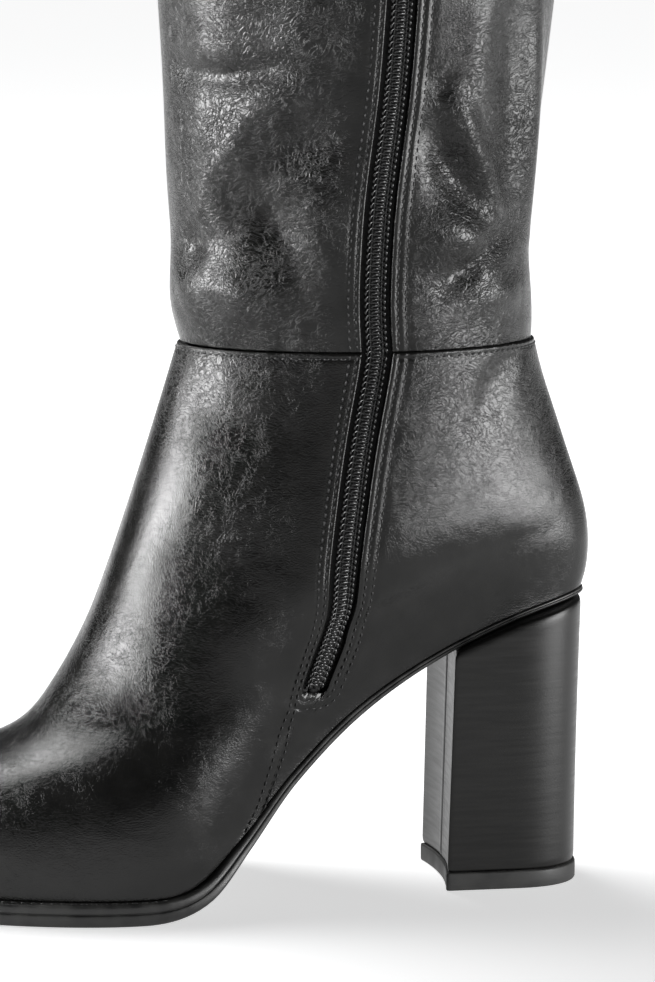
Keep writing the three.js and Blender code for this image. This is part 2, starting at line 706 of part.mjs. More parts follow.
/** One zip tape. side is -1 for the one nearer the toe and 1 for the one nearer the heel. */
function makeZipTape(side) {
  const top = 1 - (2 * pieceGap) / shaftLength;
  const heights = [
    ...spread(zipStart - tapeTail, zipStart, 1),
    ...footLevels.filter((up) => up > zipStart + 0.02),
    ...shaftLevels.slice(1, -1).map((up) => 1 + up),
    1 + chainTop,
    1 + top,
  ].sort((a, b) => a - b);
  const neckBottom = chainTop - neckLength / shaftLength;
  const sections = heights.map((height) => {
    const besideNeck = height > 1 + neckBottom;
    const inner = besideNeck ? neckWidth / 2 + 2 * pieceGap : tapeMiddleGap;
    const columns = spread(inner, tapeWidth, 2);
    const depth = tapeDepth(height);
    const face = columns.map((across) => zipPoint(height, side * across, depth));
    const back = columns.map((across) => zipPoint(height, side * across, depth + tapeThickness));
    return [...face, ...back.reverse()];
  });
  return loftedSolid(sections);
}

/** The closed chain of zip teeth, as one rib between the tapes' inner edges. */
function makeZipChain() {
  const start = zipStart + 0.014;
  const heights = [
    start,
    ...footLevels.filter((up) => up > start + 0.02),
    ...shaftLevels.slice(1).map((up) => 1 + up).filter((height) => height < 1 + chainTop - 0.02),
    1 + chainTop,
  ];
  const half = chainWidth / 2;
  const shoulder = chainHeight * 0.3;
  const outline = [
    [-half, 0],
    [half, 0],
    [half, chainHeight - shoulder],
    [half * 0.7, chainHeight],
    [-half * 0.7, chainHeight],
    [-half, chainHeight - shoulder],
  ];
  return loftedSolid(heights.map((height) => {
    const floor = tapeDepth(height) - chainGap;
    return outline.map(([across, above]) => zipPoint(height, across, floor - above));
  }));
}

/** The frame at a height of the zip: x towards the heel, y up the zip and z away from the boot. */
function zipFrame(height, depth) {
  const origin = zipPoint(height, 0, depth);
  const out = zipPoint(height, 0, depth - 1).sub(origin).normalize();
  const upward = zipPoint(height + 0.01, 0, depth).sub(zipPoint(height - 0.01, 0, depth));
  upward.addScaledVector(out, -upward.dot(out)).normalize();
  const across = new THREE.Vector3().crossVectors(upward, out);
  return new THREE.Matrix4().makeBasis(across, upward, out).setPosition(origin);
}

/** A box by its lowest and highest corners. */
function boxBetween(low, high) {
  const size = high.map((value, k) => value - low[k]);
  const middle = high.map((value, k) => (value + low[k]) / 2);
  return new THREE.BoxGeometry(...size).translate(...middle);
}

// The slider sits with the upper end of its neck just past the last tooth. These are heights above the
// tapes' outer face, in the frame of zipFrame.
const sliderFloor = chainGap + chainHeight + pieceGap;
const sliderTop = sliderFloor + sliderPlate;
const sliderFrame = zipFrame(1 + chainTop, tapeDepth(1 + chainTop));
const pinHeight = sliderTop + pieceGap + pullPin / 2;
const pinPlace = neckLength - sliderLength / 2 - bailLength / 2 + bailBar + pieceGap + pullPin / 2;

/** The slider: a plate over the teeth and one behind the tapes, joined by the neck, and a bail on top. */
function makeSlider() {
  const half = sliderWidth / 2;
  const lip = chainWidth / 2 + pieceGap;
  const y0 = neckLength - sliderLength;
  const y1 = neckLength;
  const behind = -tapeThickness - pieceGap;
  const bailY = (y0 + y1) / 2;
  const bailTop = sliderTop + bailOpening + bailBar;
  const pieces = [
    boxBetween([-half, y0, sliderFloor], [half, y1, sliderTop]),
    boxBetween([-half, y0, pieceGap], [-lip, y1, sliderTop]),
    boxBetween([lip, y0, pieceGap], [half, y1, sliderTop]),
    boxBetween([-half * 0.8, y0, behind - sliderPlate], [half * 0.8, y1, behind]),
    boxBetween([-neckWidth / 2, pieceGap, behind - 0.1], [neckWidth / 2, y1, sliderTop]),
    boxBetween(
      [-bailWidth / 2, bailY - bailLength / 2, sliderTop - 0.1],
      [bailWidth / 2, bailY + bailLength / 2, bailTop],
    ),
  ];
  const opening = boxBetween(
    [-bailWidth, bailY - bailLength / 2 + bailBar, sliderTop],
    [bailWidth, bailY + bailLength / 2 - bailBar, sliderTop + bailOpening],
  );
  const whole = pieces.map(toSolid).reduce((sum, piece) => sum.add(piece));
  return fromSolid(whole.subtract(toSolid(opening))).applyMatrix4(sliderFrame);
}

/** The pull tab, hanging from the bail, with its origin on its pin. */
function makePullTab() {
  const half = pullWidth / 2;
  const shape = new THREE.Shape();
  const top = pullPin / 2;
  const bottom = top - pullLength;
  const taper = half * 0.72;
  shape.moveTo(-taper, top);
  shape.lineTo(-half, top - pullWindowLength);
  shape.lineTo(-half, bottom + half);
  shape.absarc(0, bottom + half, half, Math.PI, 2 * Math.PI, false);
  shape.lineTo(half, top - pullWindowLength);
  shape.lineTo(taper, top);
  const window = new THREE.Path();
  const windowTop = -pullPin / 2;
  const side = pullWindowWidth / 2;
  window.moveTo(-side, windowTop);
  window.lineTo(-side, windowTop - pullWindowLength);
  window.lineTo(side, windowTop - pullWindowLength);
  window.lineTo(side, windowTop);
  shape.holes.push(window);
  const tab = new THREE.ExtrudeGeometry(shape, { depth: pullThickness, bevelEnabled: false, curveSegments: 8 });
  return tab.translate(0, 0, -pullThickness / 2);
}

/** A stop at the top of one row of teeth. */
function makeTopStop(side) {
  const inner = neckWidth / 2 + 2 * pieceGap;
  const low = neckLength + 2 * pieceGap;
  const near = side < 0 ? [-inner - stopWidth, low, pieceGap] : [inner, low, pieceGap];
  const far = [near[0] + stopWidth, low + stopLength, pieceGap + stopHeight];
  return boxBetween(near, far).applyMatrix4(sliderFrame);
}

const leather = { color: 0x14140f, roughness: 0.34, metalness: 0 };
const rubber = { color: 0x1c1c1a, roughness: 0.55, metalness: 0 };
const lining = { color: 0x2a2724, roughness: 0.85, metalness: 0 };
const tapeCloth = { color: 0x0b0b0b, roughness: 0.9, metalness: 0 };
const darkMetal = { color: 0x2c2c2e, roughness: 0.3, metalness: 0.9 };

const boot = new THREE.Group();

/** Adds a named piece to the boot. */
function addPiece(name, geometry, finish) {
  const mesh = new THREE.Mesh(geometry, new THREE.MeshStandardMaterial(finish));
  mesh.name = name;
  boot.add(mesh);
  return mesh;
}

const slotCutter = toSolid(makeSlotCutter());
addPiece('foot_upper', makeFootPart(slotCutter), leather);
addPiece('shaft', makeShaft(slotCutter), leather);
addPiece('outsole', makeOutsole(), rubber);
addPiece('insole', makeInsole(), lining);
addPiece('heel_block', makeHeelBlock(), leather);
addPiece('heel_tip', makeHeelTip(), rubber);
addPiece('zip_tape_front', makeZipTape(-1), tapeCloth);
addPiece('zip_tape_back', makeZipTape(1), tapeCloth);
addPiece('zip_chain', makeZipChain(), darkMetal);
addPiece('zip_slider', makeSlider(), darkMetal);
addPiece('zip_top_stop_front', makeTopStop(-1), darkMetal);
addPiece('zip_top_stop_back', makeTopStop(1), darkMetal);

const pullTab = addPiece('zip_pull_tab', makePullTab(), darkMetal);
const pullPlace = new THREE.Vector3(0, pinPlace, pinHeight).applyMatrix4(sliderFrame);
pullTab.setRotationFromMatrix(sliderFrame);
pullTab.position.copy(pullPlace);

export default boot;
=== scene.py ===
"""A right knee-high boot with a covered block heel and an inner-side zip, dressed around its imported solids.

Lengths inside this file are in millimetres, in the frame of the solids, and become metres when a mesh is made.
The toe points to -X, the inner side of the foot faces -Y and the floor is at Z = 0.
"""

from __future__ import annotations

import json
import logging
import math
from dataclasses import dataclass, field
from enum import Enum
from typing import Callable, Sequence

import bpy
import numpy as np
from mathutils import Matrix, Vector

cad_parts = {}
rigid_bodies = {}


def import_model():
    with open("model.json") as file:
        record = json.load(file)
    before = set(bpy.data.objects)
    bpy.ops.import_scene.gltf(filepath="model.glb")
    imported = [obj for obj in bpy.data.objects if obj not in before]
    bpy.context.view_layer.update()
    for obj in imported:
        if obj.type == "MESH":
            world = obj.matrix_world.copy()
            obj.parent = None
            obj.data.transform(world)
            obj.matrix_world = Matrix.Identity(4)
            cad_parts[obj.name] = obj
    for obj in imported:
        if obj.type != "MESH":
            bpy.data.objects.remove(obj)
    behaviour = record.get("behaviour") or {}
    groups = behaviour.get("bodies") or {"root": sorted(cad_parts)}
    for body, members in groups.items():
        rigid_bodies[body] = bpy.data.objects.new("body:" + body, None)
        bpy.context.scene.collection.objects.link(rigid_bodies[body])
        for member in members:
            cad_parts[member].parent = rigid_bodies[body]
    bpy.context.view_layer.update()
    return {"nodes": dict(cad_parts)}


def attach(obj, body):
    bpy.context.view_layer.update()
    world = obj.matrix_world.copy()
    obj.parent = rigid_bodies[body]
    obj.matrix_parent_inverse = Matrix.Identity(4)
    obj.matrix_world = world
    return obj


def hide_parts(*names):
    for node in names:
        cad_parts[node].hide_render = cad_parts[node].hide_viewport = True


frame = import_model()

log = logging.getLogger("boot")

Array = np.ndarray
Material = bpy.types.Material
Thing = bpy.types.Object
Triple = tuple[float, float, float]
LEVEL = np.array([1.0, 1.0, 0.0])
METRES = 0.001


class Slopes(Enum):
    """How a curve through a table passes its rows."""

    STEADY = "never overshoots its rows"
    EVEN = "bends evenly, as a drawn spline"


class Side(Enum):
    """Side of the zip: towards the toe or towards the heel."""

    FRONT = -1
    BACK = 1


class Slot(Enum):
    """The record's material slots."""

    UPPER = "upper_leather"
    SHAFT = "shaft_leather"
    SOLE = "sole_rubber"
    LINING = "lining"
    HEEL = "heel_cover"
    TIP = "tip_rubber"
    TAPE = "zip_tape"
    COIL = "zip_coil"
    METAL = "zip_metal"


class TableCurve:
    """A smooth curve through a short table of places and values."""

    def __init__(self, rows: Sequence[tuple[float, float]], slopes: Slopes = Slopes.EVEN) -> None:
        """Works out the slopes at the rows, which are pairs of place and value in rising places."""
        table = np.asarray(rows, float)
        self.places = table[:, 0]
        self.values = table[:, 1]
        self.widths = np.diff(self.places)
        rises = np.diff(self.values) / self.widths
        self.slopes = self._even(rises) if slopes is Slopes.EVEN else self._steady(rises)

    def _even(self, rises: Array) -> Array:
        """Slopes of a natural spline."""
        count = len(self.places)
        matrix = np.zeros((count, count))
        sums = np.zeros(count)
        matrix[0, :2] = (2, 1)
        matrix[-1, -2:] = (1, 2)
        sums[0] = 3 * rises[0]
        sums[-1] = 3 * rises[-1]
        inverse = 1 / self.widths
        for k in range(1, count - 1):
            before, after = inverse[k - 1], inverse[k]
            matrix[k, k - 1 : k + 2] = (before, 2 * (before + after), after)
            sums[k] = 3 * (rises[k - 1] * before + rises[k] * after)
        return np.linalg.solve(matrix, sums)

    def _steady(self, rises: Array) -> Array:
        """Slopes limited so that the curve stays between its rows."""
        slopes = np.zeros(len(self.places))
        slopes[0], slopes[-1] = rises[0], rises[-1]
        for k in range(1, len(rises)):
            before, after = rises[k - 1], rises[k]
            if before * after > 0:
                limit = 3 * min(abs(before), abs(after))
                slopes[k] = math.copysign(min(abs(before + after) / 2, limit), after)
        return slopes

    def __call__(self, at: Array | float) -> Array:
        """Values of the curve at places along its table."""
        at = np.asarray(at, float)
        k = np.clip(np.searchsorted(self.places, at, side="right") - 1, 0, len(self.widths) - 1)
        u = (at - self.places[k]) / self.widths[k]
        v = 1 - u
        start = self.values[k] * (1 + 2 * u) + self.slopes[k] * self.widths[k] * u
        end = self.values[k + 1] * (1 + 2 * v) - self.slopes[k + 1] * self.widths[k] * v
        return start * v * v + end * u * u


def table_curves(names: str, rows: Sequence[Sequence[float]], slopes: Slopes = Slopes.EVEN) -> dict[str, TableCurve]:
    """Curves through a table's columns by their names; the first column is the place and has none."""
    table = np.asarray(rows, float)
    return {
        name: TableCurve(list(zip(table[:, 0], table[:, k + 1])), slopes)
        for k, name in enumerate(names.split())
    }


def ease(t: Array | float) -> Array:
    """Eases from 0 to 1 as t goes from 0 to 1."""
    u = np.clip(t, 0, 1)
    return u * u * (3 - 2 * u)


def unit(vectors: Array) -> Array:
    """Vectors made one long."""
    return vectors / np.maximum(np.linalg.norm(vectors, axis=-1, keepdims=True), 1e-12)


def paired(first: Array | float, second: Array | float) -> Sequence[Array]:
    """Two values as arrays of one shape."""
    return np.broadcast_arrays(np.asarray(first, float), np.asarray(second, float))


def run_of(points: Array) -> Array:
    """Lengths along a line at its points."""
    return np.concatenate([[0], np.cumsum(np.linalg.norm(np.diff(points, axis=0), axis=1))])


def dot(a: Array, b: Array) -> Array:
    """Products of vectors, one for each pair."""
    return np.sum(a * b, axis=-1)


@dataclass(frozen=True)
class BootForm:
    """The outside form of the boot: foot part, shaft, feather line and zip line."""

    last_length: float = 228.0
    ball_width: float = 88.0
    heel_height: float = 86.6
    toe_spring: float = 5.0
    ankle_rise: float = 74.0
    ankle_depth: float = 104.4
    ankle_width: float = 72.0
    shaft_length: float = 314.0
    calf_depth: float = 129.0
    calf_width: float = 110.0
    collar_dip: float = 9.0
    seat_back_x: float = 23.0
    ankle_set_back: float = 15.0
    sole_thickness: float = 6.6
    waist_thickness: float = 2.9
    seat_thickness: float = 1.7
    sole_edge: float = 3.2
    gap: float = 0.3
    wall: float = 2.2
    seam_inset: float = 0.8
    seam_blend: float = 6.0
    lower_bulge: float = 0.018
    column_shift: float = 0.3
    arch_fade: float = 0.52
    tape_gap: float = 0.6
    feather_rise: dict[str, TableCurve] = field(default_factory=lambda: table_curves(
        "rise spring edge waist seat",
        [
            (0.0, 0, 1, 1, 0, 0), (0.08, 0, 0.46, 1, 0, 0), (0.19, 0, 0, 1, 0, 0), (0.31, 0, 0, 1, 0, 0),
            (0.4, 0, 0, 0.95, 0, 0), (0.47, 0.032, 0, 0.7, 0.3, 0), (0.53, 0.175, 0, 0.4, 0.75, 0),
            (0.6, 0.392, 0, 0.2, 1, 0), (0.68, 0.596, 0, 0.1, 0.85, 0.15), (0.78, 0.776, 0, 0.07, 0.4, 0.6),
            (0.89, 0.913, 0, 0.07, 0, 1), (1.0, 1, 0, 0.07, 0, 1),
        ],
        Slopes.STEADY,
    ))
    feather_width: dict[str, TableCurve] = field(default_factory=lambda: table_curves(
        "inner outer",
        [
            (0.0, 0.25, 0.25), (0.08, 0.365, 0.352), (0.19, 0.48, 0.43), (0.31, 0.54, 0.466),
            (0.4, 0.538, 0.477), (0.47, 0.489, 0.46), (0.53, 0.409, 0.432), (0.6, 0.335, 0.398),
            (0.68, 0.284, 0.358), (0.78, 0.261, 0.318), (0.89, 0.273, 0.301), (1.0, 0.278, 0.295),
        ],
    ))
    foot_ring: dict[str, TableCurve] = field(default_factory=lambda: table_curves(
        "front_along front_rise back_along back_rise front_blunt back_blunt",
        [
            (0, 0, 0, 0, 0, 0.86, 0.86), (0.05, -0.027, 0.04, -0.08, 0.054, 0.86, 0.88),
            (0.12, 0, 0.104, -0.13, 0.135, 0.84, 0.9), (0.2, 0.15, 0.151, -0.13, 0.203, 0.8, 0.92),
            (0.28, 0.372, 0.19, -0.09, 0.277, 0.75, 0.94), (0.36, 0.538, 0.235, 0, 0.358, 0.71, 0.96),
            (0.46, 0.645, 0.314, 0.16, 0.459, 0.71, 0.98), (0.58, 0.735, 0.43, 0.375, 0.588, 0.75, 0.99),
            (0.72, 0.822, 0.591, 0.61, 0.73, 0.83, 1), (0.86, 0.912, 0.792, 0.83, 0.865, 0.93, 1),
            (1, 1, 1, 1, 1, 1, 1),
        ],
    ))
    instep: dict[str, TableCurve] = field(default_factory=lambda: table_curves(
        "inner outer",
        [
            (0, 0.38, 0.38), (0.15, 0.432, 0.42), (0.35, 0.449, 0.438), (0.55, 0.42, 0.432),
            (0.75, 0.381, 0.386), (0.9, 0.352, 0.352), (1, 0.341, 0.341),
        ],
    ))
    ankle_half: TableCurve = field(default_factory=lambda: TableCurve(
        [(0, 0.46), (0.25, 0.487), (0.5, 0.5), (0.75, 0.493), (1, 0.472)],
    ))
    shaft_ring: dict[str, TableCurve] = field(default_factory=lambda: table_curves(
        "front back girth",
        [
            (0, 0, 0, 0), (0.04, 0.079, -0.03, 0.03), (0.09, 0.075, -0.075, 0.08), (0.13, 0.103, -0.055, 0.13),
            (0.226, 0.15, 0.083, 0.29), (0.318, 0.214, 0.22, 0.47), (0.443, 0.317, 0.405, 0.73),
            (0.586, 0.397, 0.55, 0.94), (0.761, 0.417, 0.583, 1), (1, 0.377, 0.52, 0.98),
        ],
    ))
    zip_on_foot: TableCurve = field(default_factory=lambda: TableCurve(
        [
            (0, 1.8), (0.08, 1.838), (0.15, 1.861), (0.2, 1.868), (0.35, 1.802),
            (0.54, 1.734), (0.71, 1.665), (0.86, 1.6), (1, 1.573),
        ],
    ))
    zip_on_shaft: TableCurve = field(default_factory=lambda: TableCurve(
        [(0, 1.573), (0.11, 1.606), (0.22, 1.65), (0.32, 1.665), (0.6, 1.68), (1, 1.69)],
    ))

    @property
    def foot_bed(self) -> float:
        """Height of the feather line at the tread."""
        return self.sole_thickness + self.gap

    @property
    def seat_z(self) -> float:
        """Height of the feather line at the back of the heel seat."""
        return self.heel_height + self.gap

    @property
    def seam_z(self) -> float:
        """Height of the ankle seam."""
        return self.seat_z + self.ankle_rise

    @property
    def toe_x(self) -> float:
        """Where the feather line begins."""
        return self.seat_back_x - self.last_length

    @property
    def ankle_back_x(self) -> float:
        """Back of the ankle seam."""
        return self.seat_back_x - self.ankle_set_back

    @property
    def ankle_front_x(self) -> float:
        """Front of the ankle seam."""
        return self.ankle_back_x - self.ankle_depth

    def feather_share(self, x: Array) -> Array:
        """The share of the feather line's length at which it passes x."""
        return np.clip((x - self.toe_x) / self.last_length, 0, 1)

    def feather_height(self, along: Array | float) -> Array:
        """Height of the feather line at a share of its length."""
        rise = self.feather_rise["rise"](along) * (self.seat_z - self.foot_bed)
        return self.foot_bed + rise + self.feather_rise["spring"](along) * self.toe_spring

    def foot(self, up: Array, turn: Array) -> Array:
        """Points on the outside of the foot part.

        Args:
            up: Heights from the feather line (0) to the ankle seam (1).
            turn: Turns from the front (0) by the inner side to the back (pi) and on.

        Returns:
            Points, one for each pair.
        """
        up, turn = paired(up, turn)
        ring = {name: curve(up) for name, curve in self.foot_ring.items()}
        place = (1 - np.cos(turn)) / 2
        moved = self.column_shift * ease(up / 0.36) * (1 - ease((up - 0.5) / 0.5))
        along = place - moved * place * (1 - place)
        front_x = self.toe_x + ring["front_along"] * (self.ankle_front_x - self.toe_x)
        back_x = self.seat_back_x + ring["back_along"] * (self.ankle_back_x - self.seat_back_x)
        toe_z = self.feather_height(0.0)
        front_z = toe_z + ring["front_rise"] * (self.seam_z - toe_z)
        back_z = self.seat_z + ring["back_rise"] * (self.seam_z - self.seat_z)
        x = front_x + (back_x - front_x) * along
        front_feather = self.feather_height(self.feather_share(front_x))
        back_feather = self.feather_height(self.feather_share(back_x))
        on_feather = self.feather_share(x)
        bow = self.feather_height(on_feather) - front_feather - (back_feather - front_feather) * along
        z = front_z + (back_z - front_z) * along + bow * (1 - ease(up / self.arch_fade))
        inner = np.sin(turn) > 0
        low = np.where(inner, self.feather_width["inner"](on_feather), self.feather_width["outer"](on_feather))
        middle = np.where(inner, self.instep["inner"](along), self.instep["outer"](along))
        high = self.ankle_half(along) * self.ankle_width
        to_middle = ease(up / 0.55)
        to_high = ease((up - 0.45) / 0.55)
        bulge = self.lower_bulge * self.ball_width * np.sin(np.pi * np.clip(up / 0.35, 0, 1)) ** 2
        half = self.ball_width * (low * (1 - to_middle) + middle * to_middle) * (1 - to_high) + high * to_high + bulge
        blunt = ring["front_blunt"] * (1 - along) + ring["back_blunt"] * along
        across = half * (2 * np.sqrt(np.clip(along * (1 - along), 0, 1))) ** blunt
        return np.stack([x, np.where(inner, -across, across), z], -1)

    def shaft(self, up: Array, turn: Array) -> Array:
        """Points on the outside of the shaft without folds, from the ankle seam (0) to the collar (1)."""
        up, turn = paired(up, turn)
        along = (1 - np.cos(turn)) / 2
        growth = self.calf_depth - self.ankle_depth
        front_x = self.ankle_front_x - self.shaft_ring["front"](up) * growth
        back_x = self.ankle_back_x + self.shaft_ring["back"](up) * growth
        waist = self.ankle_half(along) * self.ankle_width
        across = (waist + self.shaft_ring["girth"](up) * (self.calf_width / 2 - waist)) * np.sin(turn)
        z = self.seam_z + up * self.shaft_length - up**3 * self.collar_dip * along
        return np.stack([front_x + (back_x - front_x) * along, -across, z], -1)

    def skin(self, height: Array, turn: Array) -> Array:
        """Points on the foot part (height 0 to 1) or the shaft (height 1 to 2)."""
        height, turn = paired(height, turn)
        foot = self.foot(np.minimum(height, 1), turn)
        shaft = self.shaft(np.maximum(height - 1, 0), turn)
        return np.where((height < 1)[..., None], foot, shaft)

    def ways(self, height: Array, turn: Array) -> tuple[Array, Array]:
        """How the skin runs: its ways round and up, for a unit of turn and of height."""
        height, turn = paired(height, turn)
        step = 1e-3
        low = np.where(height < 1, height - step, np.maximum(height - step, 1))
        high = np.where(height < 1, np.minimum(height + step, 1 - 1e-9), height + step)
        round_way = (self.skin(height, turn + step) - self.skin(height, turn - step)) / (2 * step)
        upward = (self.skin(high, turn) - self.skin(low, turn)) / (high - low)[..., None]
        return round_way, upward

    def normals(self, height: Array, turn: Array) -> Array:
        """Outward normals of the skin."""
        round_way, upward = self.ways(height, turn)
        return unit(np.cross(round_way, upward))

    def zip_turn(self, height: Array) -> Array:
        """Turn of the zip's centre line at heights 0 to 2."""
        height = np.asarray(height, float)
        return np.where(height <= 1, self.zip_on_foot(height), self.zip_on_shaft(height - 1))

    def beside_zip(self, height: Array, across: Array) -> tuple[Array, Array]:
        """Walks over the skin, square to the zip's centre line.

        Args:
            height: Where on the centre line the walk starts.
            across: How far it goes in mm, below zero towards the toe.

        Returns:
            Heights and turns where the walk ends.
        """
        height, across = paired(height, across)
        step = 1e-3
        drift = (self.zip_turn(height + step) - self.zip_turn(height - step)) / (2 * step)
        round_way, upward = self.ways(height, self.zip_turn(height))
        line = upward + round_way * drift[..., None]
        side = unit(np.cross(line, np.cross(round_way, upward)))
        up, turn = height.copy(), self.zip_turn(height).copy()
        strides = max(1, math.ceil(float(np.abs(across).max()) / 2))
        for _ in range(strides):
            round_way, upward = self.ways(up, turn)
            a, b, c = dot(round_way, round_way), dot(round_way, upward), dot(upward, upward)
            stride = across / strides / (a * c - b * b)
            side_round, side_up = dot(side, round_way), dot(side, upward)
            turn = turn + stride * (side_round * c - side_up * b)
            up = up + stride * (side_up * a - side_round * b)
        return up, turn

    def tape_depth(self, height: Array) -> Array:
        """How deep under the skin the tapes' outer face lies."""
        height = np.asarray(height, float)
        from_seam = np.where(height < 1, (1 - height) * self.ankle_rise, (height - 1) * self.shaft_length)
        return self.wall + self.tape_gap + self.seam_inset * np.exp(-((from_seam / (3 * self.seam_blend)) ** 2))

    def sole_thickness_at(self, along: Array) -> Array:
        """How thick the sole is at a share of the feather line."""
        waist = self.feather_rise["waist"](along)
        seat = self.feather_rise["seat"](along)
        return self.sole_thickness * (1 - waist - seat) + self.waist_thickness * waist + self.seat_thickness * seat

    def sole_line(self, along: Array, drop: Array | float) -> tuple[Array, Array]:
        """A line through the sole seen from the side, drop being the share of the way to its underside."""
        along = np.asarray(along, float)
        step = 1e-3
        rise = self.feather_height(along + step) - self.feather_height(along - step)
        run = np.full_like(rise, 2 * step * self.last_length)
        length = np.hypot(run, rise)
        down = self.sole_thickness_at(along) * drop
        x = self.toe_x + along * self.last_length + rise / length * down
        z = self.feather_height(along) - self.gap - run / length * down
        return x, z


@dataclass(frozen=True)
class ZipSlot:
    """The slot in the leather over the zip, in places beside its centre line."""

    form: BootForm
    width: float = 8.9
    start: float = 0.145
    corner: float = 1.7
    fold_radius: float = 0.65

    def __post_init__(self) -> None:
        """Measures the centre line."""
        heights = np.concatenate([np.linspace(0.03, 1 - 1e-6, 260), np.linspace(1, 2, 420)])
        points = self.form.skin(heights, self.form.zip_turn(heights))
        lengths = run_of(points)
        lengths -= np.interp(self.start, heights, lengths)
        tangents = unit(np.gradient(points, axis=0))
        normals = self.form.normals(heights, self.form.zip_turn(heights))
        line = {
            "heights": heights,
            "points": points,
            "lengths": lengths,
            "tangents": tangents,
            "sides": unit(np.cross(tangents, normals)),
            "normals": normals,
        }
        object.__setattr__(self, "line", line)

    def height_at(self, length: Array) -> Array:
        """Heights on the centre line at lengths in mm above the slot's lower end."""
        return np.interp(length, self.line["lengths"], self.line["heights"])

    def length_at(self, height: float) -> float:
        """Length in mm above the slot's lower end at a height."""
        return float(np.interp(height, self.line["heights"], self.line["lengths"]))

    def local(self, points: Array) -> tuple[Array, Array]:
        """Lengths of points above the slot's lower end, and their ways across, below zero towards the toe."""
        flat = points.reshape(-1, 3)
        along = np.full(len(flat), 1e3)
        across = np.full(len(flat), 1e3)
        coarse = self.line["points"][::12]
        near = np.zeros(len(flat), bool)
        for chunk in np.array_split(np.arange(len(flat)), max(1, len(flat) // 4000)):
            gap = np.linalg.norm(flat[chunk, None] - coarse[None], axis=-1).min(axis=1)
            near[chunk] = gap < 34
        index = np.flatnonzero(near)
        for chunk in np.array_split(index, max(1, len(index) // 2000)):
            if len(chunk) == 0:
                continue
            gap = np.linalg.norm(flat[chunk, None] - self.line["points"][None], axis=-1)
            best = gap.argmin(axis=1)
            away = flat[chunk] - self.line["points"][best]
            along[chunk] = self.line["lengths"][best] + dot(away, self.line["tangents"][best])
            across[chunk] = dot(away, self.line["sides"][best])
        return along.reshape(points.shape[:-1]), across.reshape(points.shape[:-1])

    def outside(self, along: Array, across: Array) -> Array:
        """How far places lie outside the slot's outline; below zero is inside it."""
        side = np.abs(across) - (self.width / 2 - self.corner)
        below = self.corner - along
        outer = np.hypot(np.maximum(side, 0), np.maximum(below, 0))
        return outer + np.minimum(np.maximum(side, below), 0) - self.corner

    def snapped(self, along: Array, across: Array) -> tuple[Array, Array]:
        """Places moved onto the slot's outline."""
        step = 1e-3
        for _ in range(3):
            here = self.outside(along, across)
            slope_along = (self.outside(along + step, across) - here) / step
            slope_across = (self.outside(along, across + step) - here) / step
            size = np.maximum(np.hypot(slope_along, slope_across) ** 2, 0.2)
            along = along - here * slope_along / size
            across = across - here * slope_across / size
        return along, across

    def places(self, along: Array, across: Array) -> tuple[Array, Array]:
        """Heights and turns of places beside the centre line."""
        return self.form.beside_zip(self.height_at(along), across)


@dataclass(frozen=True)
class Fold:
    """A soft trough or ridge of the leather, drawn along a path of heights and turns.

    Attributes:
        path: Heights and turns it passes.
        wide: Half of its width in mm.
        deep: How far it goes in; below zero it stands out.
    """

    path: tuple[tuple[float, float], ...]
    wide: float
    deep: float


@dataclass(frozen=True)
class CrinklePatch:
    """A patch of fine creases, round a place on the skin."""

    height: float
    turn: float
    reach: float
    strength: float


class SkinRelief:
    """What stands out of the smooth form or lies under it: the soft folds, and where the leather is crinkled."""

    fold_strength: float = 1.6
    path_steps: int = 7

    def __init__(self, form: BootForm, folds: Sequence[Fold], patches: Sequence[CrinklePatch]) -> None:
        """Keeps the folds as points in space."""
        self.form = form
        self.patches = patches
        self.folds = [(fold, self._path(fold.path)) for fold in folds]

    def _path(self, path: Sequence[tuple[float, float]]) -> Array:
        """Points in space along a path of heights and turns."""
        rows = np.asarray(path, float)
        steps = np.arange(len(rows))
        places = np.linspace(0, steps[-1], self.path_steps * steps[-1] + 1)
        heights, turns = (TableCurve(list(zip(steps, column)))(places) for column in rows.T)
        return self.form.skin(heights, turns)

    def soft(self, points: Array) -> Array:
        """How far the folds push the skin out, for points on the smooth form."""
        flat = points.reshape(-1, 3)
        total = np.zeros(len(flat))
        for fold, line in self.folds:
            middle = (line.min(axis=0) + line.max(axis=0)) / 2
            reach = np.linalg.norm(line - middle, axis=1).max() + 3 * fold.wide
            index = np.flatnonzero(np.linalg.norm(flat - middle, axis=1) < reach)
            if len(index) == 0:
                continue
            near = flat[index]
            best = np.full(len(near), np.inf)
            place = np.zeros(len(near))
            for k in range(len(line) - 1):
                way = line[k + 1] - line[k]
                t = np.clip((near - line[k]) @ way / (way @ way), 0, 1)
                gap = np.linalg.norm(near - line[k] - t[:, None] * way, axis=1)
                closer = gap < best
                best[closer] = gap[closer]
                place[closer] = (k + t[closer]) / (len(line) - 1)
            fade = np.sin(np.pi * np.clip(0.08 + 0.84 * place, 0, 1)) ** 0.7
            total[index] -= self.fold_strength * fold.deep * fade * np.exp(-((best / fold.wide) ** 2))
        return total.reshape(points.shape[:-1])

    def crinkle(self, points: Array) -> Array:
        """How strongly the leather is crinkled, from 0 to 1."""
        total = np.zeros(points.shape[:-1])
        for patch in self.patches:
            centre = self.form.skin(patch.height, patch.turn)
            gap = np.linalg.norm(points - centre, axis=-1) / patch.reach
            total = np.maximum(total, patch.strength * np.exp(-(gap**2)))
        return np.clip(total, 0, 1)


def sheet_faces(rows: int, columns: int, closed: bool) -> Array:
    """Corner numbers of the quads between rows of points, each row open or closed to a ring."""
    j = np.arange(columns if closed else columns - 1)
    i = np.arange(rows - 1)[:, None]
    after = (j + 1) % columns
    corners = [i * columns + j, i * columns + after, (i + 1) * columns + after, (i + 1) * columns + j]
    return np.stack(np.broadcast_arrays(*corners), -1).reshape(-1, 4)


